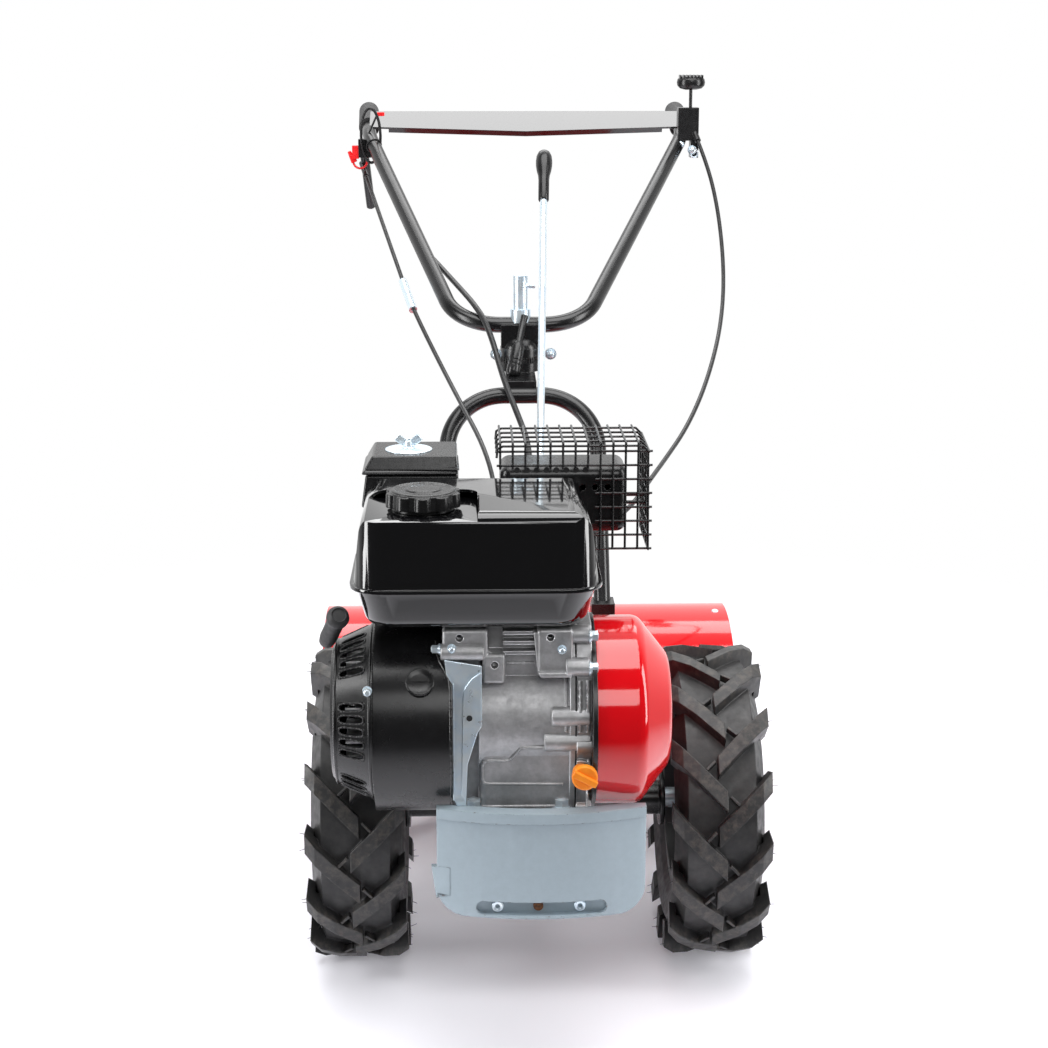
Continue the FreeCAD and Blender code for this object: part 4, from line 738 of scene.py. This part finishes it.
# %% [markdown]
# ## Air cleaner
# Two moulded boxes: a lid with sloped sides over a body that flares to the right. A wide flat
# washer and a small wing nut hold the lid down. A box with its upper corners drawn in gives
# the slopes, and the Bevel modifier gives the soft edges that a mould leaves.

# %% Cleaner lid and body
def tapered(bm, low, high, sides):
    """A box from a low to a high corner whose top is drawn in at x low, x high and y low."""
    corners = slab(bm, (low + high) / 2, (high - low) / MM)["verts"]
    for corner in corners:
        if corner.co.z > (low.z + high.z) / 2:
            corner.co.x += (sides[0] if corner.co.x < (low.x + high.x) / 2 else -sides[1]) * MM
            corner.co.y += sides[2] * MM if corner.co.y < (low.y + high.y) / 2 else 0


lid = bmesh.new()
tapered(lid, at(-196, -150, 643), at(-92, -64, 658), (9, 1, 5))
tapered(lid, at(-199.5, -153.5, 638), at(-90.5, -62.5, 643), (4, 1.5, 3.5))
done(lid, "cleaner_lid", "air_cleaner_cover", width=3.0, rounds=4, instead=True)
body = bmesh.new()
tapered(body, at(-195, -149, 575), at(-94.5, -66.5, 606), (0, 0, 0))
tapered(body, at(-199.5, -153, 600), at(-91, -66.5, 637), (5, 0, 2))
done(body, "cleaner_body", "air_cleaner_base", width=3.0, rounds=4, instead=True)

# %% Washer and wing nut
nut = bmesh.new()
stud = at(-147, -109, 658)
top = post(nut, stud, UP, 27, 1.4, 26, sides=48)
top = post(nut, top, UP, 7.5, 2.2, 6.5)
top = post(nut, top, UP, 5, 7, 4)
post(nut, top, UP, 2.6, 3)
for way in (-1, 1):
    slab(nut, stud + Vector((way * 8.5, 0, 11)) * MM, (12, 3, 9),
         Matrix.Rotation(math.radians(-38 * way), 4, "Y"))
done(nut, "wing_nut_small", "wing_nut", width=0.8, instead=True)

# %% [markdown]
# ## Tank and cap
# The tank's top is lower where the cap stands, and a short slope joins the two levels. A copy
# of the solid is cut down there by a boolean, because the cut runs through rounded corners
# that no operator of its own would follow. The cap is a lobed grip with a ring and a low dome
# on top: overlapping posts make the lobes, and a turned form the rest.

# %% Tank top
def cut_down(bm, corners, along_low, along_high):
    """Takes the prism between two depths, with an (x, z) outline, off a bmesh's solid."""
    blank = bpy.data.objects.new("blank", bpy.data.meshes.new("blank"))
    tool = bpy.data.objects.new("tool", bpy.data.meshes.new("tool"))
    prism = bmesh.new()
    plate(prism, corners, along_low, along_high - along_low)
    bmesh.ops.recalc_face_normals(prism, faces=prism.faces)
    bmesh.ops.recalc_face_normals(bm, faces=bm.faces)
    for source, target in ((bm, blank), (prism, tool)):
        source.to_mesh(target.data)
        source.free()
        bpy.context.collection.objects.link(target)
    difference = blank.modifiers.new("cut", "BOOLEAN")
    difference.object = tool
    bpy.context.view_layer.update()
    shaped = blank.evaluated_get(bpy.context.evaluated_depsgraph_get()).to_mesh()
    result = bmesh.new()
    result.from_mesh(shaped)
    for used in (blank, tool):
        bpy.data.objects.remove(used)
    return result


tank = cut_down(solid_copy("fuel_tank"),
                [(-215, 631.5), (-78, 631.5), (-66, 641.5), (-66, 660), (-215, 660)], -360, -262)
print("The tank's shell has", len(tank.faces), "faces")
done(tank, "tank_shell", "fuel_tank", width=0.9, smooth=40, instead=True)

# %% Cap
cap_place = at(-127, -284, 631)
cap = bmesh.new()
post(cap, cap_place, UP, 33, 5, sides=48)
post(cap, cap_place + UP * 4.5 * MM, UP, 36.5, 15.5, 35.5, sides=48)
lobe_count = 10
for number in range(lobe_count):
    angle = math.tau * (number + 0.5) / lobe_count
    lobe = Vector((math.cos(angle), math.sin(angle), 0)) * 31.5 * MM
    post(cap, cap_place + lobe + UP * 4.5 * MM, UP, 9.3, 14.6, 8.6)
turned(cap, cap_place, UP, [(35, 18), (33.5, 21.5), (30, 22), (28.5, 20.4), (20, 20.4),
                            (18, 22.4), (10, 23.6), (0, 24)], 48)
done(cap, "cap_lobed", "fuel_cap", width=1.2, rounds=3, smooth=40, instead=True)

# %% [markdown]
# ## Dipstick
# A round orange cap with a finger bar across it, on a neck that leans out of the sump. A hand
# turns it by the bar, so the bar is a box of its own and not a bump in the finish.

# %% Dipstick
stick = bmesh.new()
neck_foot, neck_top = at(38, -331, 353), at(41, -356, 357)
post(stick, neck_foot, neck_top - neck_foot, 9, 26)
turned(stick, at(41, -354, 357), FRONT, [(0, 0), (11.5, 0), (13.8, 1.4), (13.8, 7.2),
                                         (12.6, 8.8), (0, 9.2)], 40)
slab(stick, at(41, -364.5, 357), (28, 6, 7), Matrix.Rotation(math.radians(28), 4, "Y"))
done(stick, "dipstick_cap", "oil_dipstick", width=1.0, rounds=3, instead=True)

# %% [markdown]
# ## Muffler holes
# A row of small round holes runs along the top of the muffler's front sheet. From a step away
# a hole into the unlit box shows only shade, so each is a flat matt black disc: painted shade.

# %% Muffler holes
# Painted shade: each hole is a flat matt black disc, not an opening.
hole_shade_discs = bmesh.new()
hole_count, hole_pitch = 8, 11
for number in range(hole_count):
    post(hole_shade_discs, at(-25 + number * hole_pitch, -148.6, 642), FRONT, 3.3, 0.6)
done(hole_shade_discs, "muffler_holes", "muffler", material=rubber)

# %% [markdown]
# ## Wheel bolts
# Wheel discs are held to their hubs by five bolts on a circle, and the axle ends in a flat
# cap. The same loop serves both wheels. The disc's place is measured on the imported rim, and
# the axle stands half the tyre's height above the ground.

# %% Wheel bolts
bolt_count, bolt_circle = 5, 62
wheel_height = frame["nodes"]["tyre_left"].dimensions.z / 2 / MM
for side, toward in (("left", LEFT), ("right", RIGHT)):
    rim_low, rim_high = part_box(f"rim_{side}")
    disc_x = (rim_low.x + rim_high.x) / 2 / MM
    nuts = bmesh.new()
    for number in range(bolt_count):
        angle = math.radians(18 + 360 / bolt_count * number)
        hex_bolt(nuts, at(disc_x + 3 * toward.x, bolt_circle * math.cos(angle),
                          wheel_height + bolt_circle * math.sin(angle)), toward, 14, 8, 12)
    post(nuts, at(disc_x + 35 * toward.x, 0, wheel_height), toward, 19, 4)
    done(nuts, f"wheel_nuts_{side}", f"rim_{side}", material=zinc)

# %% [markdown]
# ## The fan behind the slots
# Through the recoil housing's slots shows the blower: a disc of thin pale vanes on the
# flywheel. Real vanes are curved, but behind the slots only their edges show, so each is a
# flat blade, and the loop sets them round the shaft.

# %% Cooling fan
fan = bmesh.new()
fan_low, fan_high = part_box("flywheel_fan")
fan_y, fan_z = (fan_low.y + fan_high.y) / 2, (fan_low.z + fan_high.z) / 2
hub = Vector((fan_low.x, fan_y, fan_z))
vane_count = 26
post(fan, hub + LEFT * 20 * MM, LEFT, 78, 6, sides=64)
post(fan, hub, LEFT, 30, 104, sides=32)
for number in range(vane_count):
    turn = Matrix.Rotation(math.tau * number / vane_count, 4, "X")
    offset = turn @ Vector((0, 0, 60 * MM))
    slab(fan, hub + LEFT * MM + offset, (17, 2.6, 32), turn)
done(fan, "blower_vanes", "flywheel_fan", material=cast_aluminium, instead=True)

# %% [markdown]
# The housing's slots are punched and then flanged: each has a small rounded rim, and so have
# the edges of the housing and the shroud. A rim's path is a squared ellipse laid on the
# housing's cone, so one formula serves all the slots and no outline is drawn by hand.

# %% Slot rims
rims = bmesh.new()
cone_start, cone_radius, cone_slope, slot_middle = -222, 79, 0.45, -204.5
slot_groups, slots_in_group, slot_step, path_steps = 6, 5, 8.6, 20
centre = at(0, -252, 396)
for group in range(slot_groups):
    for number in range(slots_in_group):
        slot_angle = 85.6 + 360 / slot_groups * group + (number - 2) * slot_step
        turn = Matrix.Rotation(math.radians(slot_angle), 4, "X")
        path = []
        for step in range(path_steps + 1):
            t = math.tau * step / path_steps
            along = 13.5 * math.copysign(abs(math.cos(t)) ** 0.6, math.cos(t))
            across = 4.6 * math.copysign(abs(math.sin(t)) ** 0.6, math.sin(t))
            x = slot_middle + along
            radius = cone_radius + cone_slope * (x - cone_start) - 0.3
            path.append(centre + Vector((x, 0, 0)) * MM
                        + turn @ (Vector((0, across, radius)) * MM))
        wire(rims, path, 1.3, sides=6)
ring(rims, centre + Vector((-222.5, 0, 0)) * MM, LEFT, 77.6, 2.4)
ring(rims, centre + Vector((-185, 0, 0)) * MM, LEFT, 94.6, 2.3)
ring(rims, at(-180, -241, 390), LEFT, 104.4, 2.4)
done(rims, "slot_rims", "recoil_housing", smooth=70)

# %% [markdown]
# ## The muffler's cage
# The guard is welded from round wire. Upright wires bend over the front edge, long wires lie
# across them and bend down the outer side, and two short stays hold it to the muffler. A
# Wireframe modifier on a grid would be quicker, but its wires would meet in one plane; welded
# wires cross, and their ends are free.

# %% Wire cage
cage = bmesh.new()
wire_radius, column_count, column_pitch, row_count, row_pitch = 1.35, 12, 14, 8, 16
front, rear, bottom, top = -158, -56, 552, 672
first_x, last_x, tank_clear = -44, 122, 645
for number in range(column_count):
    x = first_x + number * column_pitch
    foot = bottom if x > 60 else tank_clear
    wire(cage, [at(x, rear, top + 2), at(x, front - 3, top + 2.6), at(x, front - 3, top - 2)],
         wire_radius)
    wire(cage, [at(x, front, top + 4), at(x, front, foot)], wire_radius)
for along in (front, -132, -107, -82, rear):
    wire(cage, [at(first_x - 4, along, top - 14), at(first_x - 3, along, top - 4),
                at(first_x + 3, along, top - 1), at(last_x - 7, along, top - 1),
                at(last_x - 1, along, top - 7), at(last_x, along, bottom)], wire_radius)
for number in range(row_count):
    z = top - 7 - number * row_pitch
    left_end = first_x - 4 if z > tank_clear else 62
    wire(cage, [at(left_end, front, z), at(last_x + 4, front, z)], wire_radius)
    wire(cage, [at(last_x, front - 4, z), at(last_x, rear, z)], wire_radius)
for along in (-130, -92):
    wire(cage, [at(99, along, 600), at(last_x, along, 600)], wire_radius * 1.6)
done(cage, "muffler_cage", "muffler_guard", smooth=60, instead=True)

# %% [markdown]
# ## Knobs and levers
# The gear lever ends in a moulded bulb over a sleeve; the throttle has a flat ribbed knob on a
# thin stem. Both are turned forms, the throttle's squashed and given ribs across its top.
# The bulb is turned about the lever's own line, so it leans as the lever does.

# %% Gear knob
lever_foot, lever_tip = at(2, -20, 305), at(29.5, 520, 953)
lever_way = (lever_tip - lever_foot).normalized()
seam = lever_foot.lerp(lever_tip, 0.9)
knob_length = (lever_tip - seam).length / MM
knob = bmesh.new()
bulb_profile = [(0, 0), (6.6, 0), (7.4, 1.5), (7.6, 34), (8.2, 42), (10.2, 50), (11.4, 58),
                (11.6, 66), (10.8, 74), (8.4, 80), (4.4, 83.6), (0, 84.6)]
turned(knob, seam, lever_way, [(r, h * knob_length / 84.6) for r, h in bulb_profile])
done(knob, "gear_knob_bulb", "gear_knob", smooth=50, instead=True)

# %% Throttle knob
knob_foot = at(268, 828, 1000)
ribbed = bmesh.new()
turned(ribbed, knob_foot, UP, [(0, 0), (2.6, 0), (2.6, 27), (0, 27)], 16)
turned(ribbed, knob_foot, UP, [(0, 27), (9, 27), (17, 29), (21, 33), (22, 38), (21, 43),
                               (16, 47), (0, 49)], 40, 0.82)
rib_count, rib_pitch = 7, 5.6
for number in range(rib_count):
    offset = (number - 3) * rib_pitch
    reach = 16 * math.sqrt(1 - (offset / 23) ** 2)
    slab(ribbed, knob_foot + Vector((offset, 0, 45)) * MM, (2.6, reach * 2, 9))
done(ribbed, "throttle_knob_ribbed", "throttle_knob", smooth=50, width=0.9, instead=True)

# %% [markdown]
# ## Starter grip
# A moulded rubber handle: a ribbed barrel between a rounded foot and a flared cap, turned
# about the line that the cord pulls along. The ribs are in the profile itself, which gives
# them a real outline against the light.

# %% Starter grip
grip_top, grip_foot = at(-217, -300, 520), at(-235, -248, 474)
pull = (grip_top - grip_foot).normalized()
grip_length = (grip_top - grip_foot).length / MM
barrel = [(0, 0), (6, 0), (8.5, 2), (9, 6)]
barrel += [(9 + 0.7 * (step % 2), 10 + step * 3.2) for step in range(14)]
barrel += [(9.4, 56), (12, 60), (12.4, 64), (11, 68.5), (8, 70.4), (7, 69), (0, 69)]
starter = bmesh.new()
turned(starter, grip_foot, pull, [(r, h * grip_length / 70.4) for r, h in barrel], 28)
done(starter, "starter_handle", "starter_grip", smooth=50, instead=True)

# %% [markdown]
# ## Handlebar fittings
# By the right-hand grip sit the clutch's red latch and ring and a loop of black wire; under
# the left-hand end are the throttle bracket's bolt and eye. Rings that are not flat, or too
# small to turn neatly, are chains of short rods along a formula.

# %% Latch, loop and eye
latch = bmesh.new()
ring_middle = at(-246, 840, 918)
chain(latch, [ring_middle + Vector((11 * math.cos(a), 4 * math.sin(a), 11 * math.sin(a))) * MM
              for a in (math.tau * step / 20 for step in range(21))], 1.9)
slab(latch, at(-257, 838, 922), (9, 8, 12), Matrix.Rotation(math.radians(-20), 4, "Y"))
post(latch, at(-260, 838, 927), Vector((-0.5, -0.2, 1)), 3.6, 7, 2.6)
done(latch, "latch_ring", "clutch_trigger", width=1.2)
tab = bmesh.new()
slab(tab, at(-213, 838, 990), (12, 6, 6))
done(tab, "latch_tab", "clutch_trigger", width=1.0)

loop = bmesh.new()
loop_points = [at(-228 + 15 * math.sin(a), 822 - 8 * math.cos(a), 958 + 42 * math.cos(a))
               for a in (math.tau * step / 24 for step in range(25))]
wire(loop, loop_points, 2.2)
wire(loop, [at(-232, 838, 960), at(-219, 838, 988)], 1.6)
done(loop, "wire_loop", "clutch_clamp", material=cable_black, smooth=60)

eye = bmesh.new()
chain(eye, [at(273 + 6 * math.cos(a), 810, 931 + 6 * math.sin(a))
            for a in (math.tau * step / 16 for step in range(17))], 1.5)
done(eye, "bracket_eye", "throttle_bracket", material=zinc, smooth=60)

# %% [markdown]
# The handlebar swings on a toothed disc, so that it can be locked at any of its teeth. They
# are small boxes set round the disc's rim, which is enough where only their tips show.

# %% Teeth of the swivel
teeth = bmesh.new()
tooth_count = 48
for number in range(tooth_count):
    angle = math.tau * number / tooth_count
    spot = at(-7 + 28 * math.cos(angle), 405 + 28 * math.sin(angle), 678)
    slab(teeth, spot, (3, 2, 8), Matrix.Rotation(angle, 4, "Z"))
done(teeth, "swivel_teeth", "swivel_base")

# %% [markdown]
# The saddle over the teeth is a low dome, and the clamp's lever ends in a plastic grip with
# two bands and a rounded end. Both are round about one line, so both are turned.

# %% Saddle and clamp lever
dome = bmesh.new()
turned(dome, at(-7, 405, 678), UP, [(0, 0), (27.5, 0), (27.8, 5), (25, 6), (25, 9), (27.8, 10),
                                    (27.6, 17), (23, 25), (14, 31), (0, 33)], 48)
done(dome, "saddle_dome", "handle_saddle", smooth=45)
lever_top, lever_low = at(-1, 389, 742), at(-20, 349, 662)
grip_way = (lever_top - lever_low).normalized()
grip = bmesh.new()
turned(grip, lever_low, grip_way,
       [(0, 0), (5, 0.8), (8, 3.4), (9.2, 8), (9.2, 15), (8.3, 15.5), (8.3, 17), (9.2, 17.5),
        (9.2, 21), (8.3, 21.5), (8.3, 23), (9.2, 23.5), (8.8, 42), (7, 48), (5, 50),
        (5, 88), (0, 89)])
done(grip, "lever_grip", "clamp_lever", smooth=45, instead=True)

# %% [markdown]
# The cables run free of the upper tube, so the copy of their holders leaves out its upper
# clip. A thin black strap goes round the tube near the grip instead. The tube is bent, so a
# copy of it is sliced at the strap's place, and the slice's middle is the strap's.

# %% Cable holders and strap
holders = solid_copy("cable_holders")
upper_clip_from = 0.8
upper = [v for v in holders.verts if v.co.z > upper_clip_from]
bmesh.ops.delete(holders, geom=upper, context="VERTS")
print(len(upper), "corners of the upper clip left out")
tube = solid_copy("handlebar")
strap_spot = at(0, 822, 0)
section = bmesh.ops.bisect_plane(tube, geom=tube.verts[:] + tube.edges[:] + tube.faces[:],
                                 plane_co=strap_spot, plane_no=REAR)["geom_cut"]
right_side = [v.co for v in section if isinstance(v, bmesh.types.BMVert) and v.co.x < 0]
tube_middle = sum(right_side, Vector()) / len(right_side)
tube_way = (at(-240, 850, 957) - at(-120, 440, 742)).normalized()
ring(holders, tube_middle, tube_way, 11.6, 1.1, 40)
tube.free()
done(holders, "holders_kept", "cable_holders", instead=True)

# %% [markdown]
# ## Rubber left by the moulds
# New tyres carry thin ties between the bars and little hairs where the moulds were vented.
# Both follow the same chevron as the bars, so they use the same steps round the wheel. A hair
# particle system could give the hairs, but small cones export as plain mesh; a seeded random
# number sets the length and lean of each.

# %% Ties and hairs
lug_count, lug_width, tread_half, wheel_middle = 14, 17, 58, 213.5
random.seed(4)
for side, sign, wheel_turn in (("left", 1, -4), ("right", -1, 4)):
    trim = bmesh.new()
    hub_middle = at(wheel_middle * sign, 0, TYRE_RADIUS)
    for row, across in ((0, 45), (1, 135)):
        for number in range(lug_count):
            turn = Matrix.Rotation(math.radians(wheel_turn + 360 / lug_count * (number + row / 2)),
                                   4, "X")
            lean = Matrix.Rotation(math.radians(across), 4, "Z")
            along = lean @ Vector((1, 0, 0))
            upper = Vector((0, 1, 0)) - along * along.y
            upper.normalize()
            inner = Vector((0, -26.5, 0)) - along * 7 + upper * (lug_width / 2 - 2)
            spot = hub_middle + turn @ ((inner - along * 6 + Vector((0, 0, 180))) * MM)
            slab(trim, spot, (15, 3.2, 8), turn @ lean)
            outward = along.x / abs(along.x)
            for _ in range(2):
                tip = Vector((outward * (tread_half - 1), random.uniform(20, 44),
                              random.uniform(160, 178)))
                way = turn @ Vector((outward, random.uniform(-0.5, 0.5),
                                     random.uniform(-0.3, 0.6)))
                post(trim, hub_middle + turn @ (tip * MM), way, 0.5, random.uniform(4, 9), 0.25,
                     sides=4)
    done(trim, f"tyre_ties_{side}", f"tyre_{side}")

# %% [markdown]
# ## The front weight
# Cast iron has no sharp edges. A copy of the solid gets rounded ones, its slot sits just
# above the lower edge, and its small side wing lies flush with its face and slopes away below.
# The copy's flat faces are dissolved into whole ones first, because the modifier would
# otherwise also round the edges of its loose triangles.

# %% The weight
weight = solid_copy("bumper_weight")
bmesh.ops.dissolve_limit(weight, angle_limit=math.radians(1), verts=weight.verts,
                         edges=weight.edges)
slot_low, slot_high = at(-78, -360, 197), at(72, -300, 217)
slot_corners = [v for v in weight.verts
                if all(low <= c <= high for low, c, high in zip(slot_low, v.co, slot_high))]
bmesh.ops.translate(weight, verts=slot_corners, vec=DOWN * 4 * MM)
print(len(slot_corners), "corners of the slot moved")
wing = [v for v in weight.verts if v.co.x < -119 * MM]
wing_front = [v for v in wing if v.co.y < -674.8 * MM]
wing_low = [v for v in wing if v.co.z < 220 * MM]
bmesh.ops.translate(weight, verts=wing_front, vec=REAR * 7 * MM)
bmesh.ops.translate(weight, verts=wing_low, vec=LEFT * 5 * MM + DOWN * 6 * MM)
print(len(wing), "corners of the side wing moved")
done(weight, "weight_rounded", "bumper_weight", width=2.2, rounds=3, smooth=40, instead=True)

# %% [markdown]
# Two plated rings and a rusty tapped hole show in the slot, on a web behind it. The rust is
# needed nowhere else, so it is made here, from two browns and one noise.

# %% Slot fittings
fittings = bmesh.new()
for x in (-51, 38):
    turned(fittings, at(x, -339, 203), FRONT, [(2.6, 0), (2.6, 2.4), (3.6, 3), (5.6, 3), (6.4, 2),
                                               (6.4, 0)], 32)
done(fittings, "slot_washers", "bumper_weight", material=zinc)
web = bmesh.new()
slab(web, at(-3.5, -336, 204), (150, 4, 20))
done(web, "slot_web", "bumper_weight", width=0.8)
rust = Finish("bare_rust", (0.16, 0.06, 0.03), 0.85)
rust.colour(rust.blend(rust.between(rust.noise(3, 5), 0.4, 0.6), (0.2, 0.08, 0.03),
                       (0.06, 0.03, 0.02)))
tapped = bmesh.new()
post(tapped, at(-7, -338, 203), FRONT, 5.5, 3)
done(tapped, "tapped_hole", "bumper_weight", material=rust.material)

# %% [markdown]
# ## Rivets in the hood
# The hood's end plates are riveted on. Each rivet is a low zinc dome, turned and set square
# on the hood's arc by its angle. The arc's front is left plain, to clear the turning tyres.

# %% Rivets
rivets = bmesh.new()
hood_middle, hood_radius = at(0, 345, 150), 183
for x in (-262, 262):
    for angle in (-24, 4, 38):
        way = Vector((0, -math.sin(math.radians(angle)), math.cos(math.radians(angle))))
        spot = hood_middle + Vector((x, 0, 0)) * MM + way * hood_radius * MM
        turned(rivets, spot, way, [(5, -0.4), (4.6, 1), (3, 2.1), (0, 2.5)], 16)
done(rivets, "hood_rivets", "hood", material=zinc, smooth=60)

# %% [markdown]
# ## Control cables
# A cable is a steel wire in a plastic sleeve: it leaves its lever in the lever's direction,
# hangs in one easy curve and never kinks. Each is a NURBS spline with the same control points
# as its CAD route, so the curve stays where the solid lies, and a round bevel gives it its
# thickness. A physics run could drape it, but a fixed route comes out the same every time.

# %% Cable routes
throttle_route = [
    (278, 806, 950), (290, 768, 914), (298, 705, 860), (299, 635, 801), (293, 563, 750),
    (280, 490, 707), (261, 415, 670), (237, 340, 634), (208, 265, 603), (176, 190, 582),
    (146, 105, 570), (120, 30, 558), (84, -20, 543), (38, -42, 530), (-10, -54, 519),
    (-56, -68, 510), (-105, -92, 505)]
clutch_route = [
    (-237, 830, 896), (-173, 560, 765), (-157, 500, 732), (-101, 330, 650), (-49, 120, 593),
    (-44, 40, 520), (-42, 10, 440), (-42, 0, 370), (-42, -1, 322)]
bundle_route = [
    (-164, 644, 824), (-145, 606, 808), (-124, 564, 791), (-106, 520, 777), (-89, 470, 765),
    (-72, 422, 752), (-57, 384, 735), (-46, 353, 710), (-38, 322, 684), (-30, 288, 662),
    (-16, 246, 632), (-4, 204, 606), (-1, 160, 584), (-8, 118, 550), (-15, 82, 490),
    (-20, 56, 425), (-22, 42, 370), (-22, 34, 320)]
print("The routes have", len(throttle_route), len(clutch_route), len(bundle_route), "points")


# %% Cables
def cable(name, node, route, diameter, length, **facts):
    """A sleeve along its route in place of its CAD node, its real length printed."""
    data = bpy.data.curves.new(name, "CURVE")
    data.dimensions = "3D"
    data.bevel_depth = diameter / 2 * MM
    data.bevel_resolution = 4
    data.resolution_u = 8
    data.use_fill_caps = True
    spline = data.splines.new("NURBS")
    spline.points.add(len(route) - 1)
    for point, place in zip(spline.points, route):
        point.co = (*at(*place), 1)
    spline.order_u = 3
    spline.use_endpoint_u = True
    data.materials.append(cable_black)
    piece = bpy.data.objects.new(name, data)
    bpy.context.collection.objects.link(piece)
    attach(piece, "chassis")
    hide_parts(node)
    print(name, "is", length, "mm long")


cable("throttle_cable_sleeve", "throttle_cable", throttle_route, 6, 1185)
cable("clutch_cable_sleeve", "clutch_cable", clutch_route, 6, 1106,
      with_pieces=["cable_adjuster"])
cable("bundle_sleeve", "centre_cable", bundle_route, 8, 874)
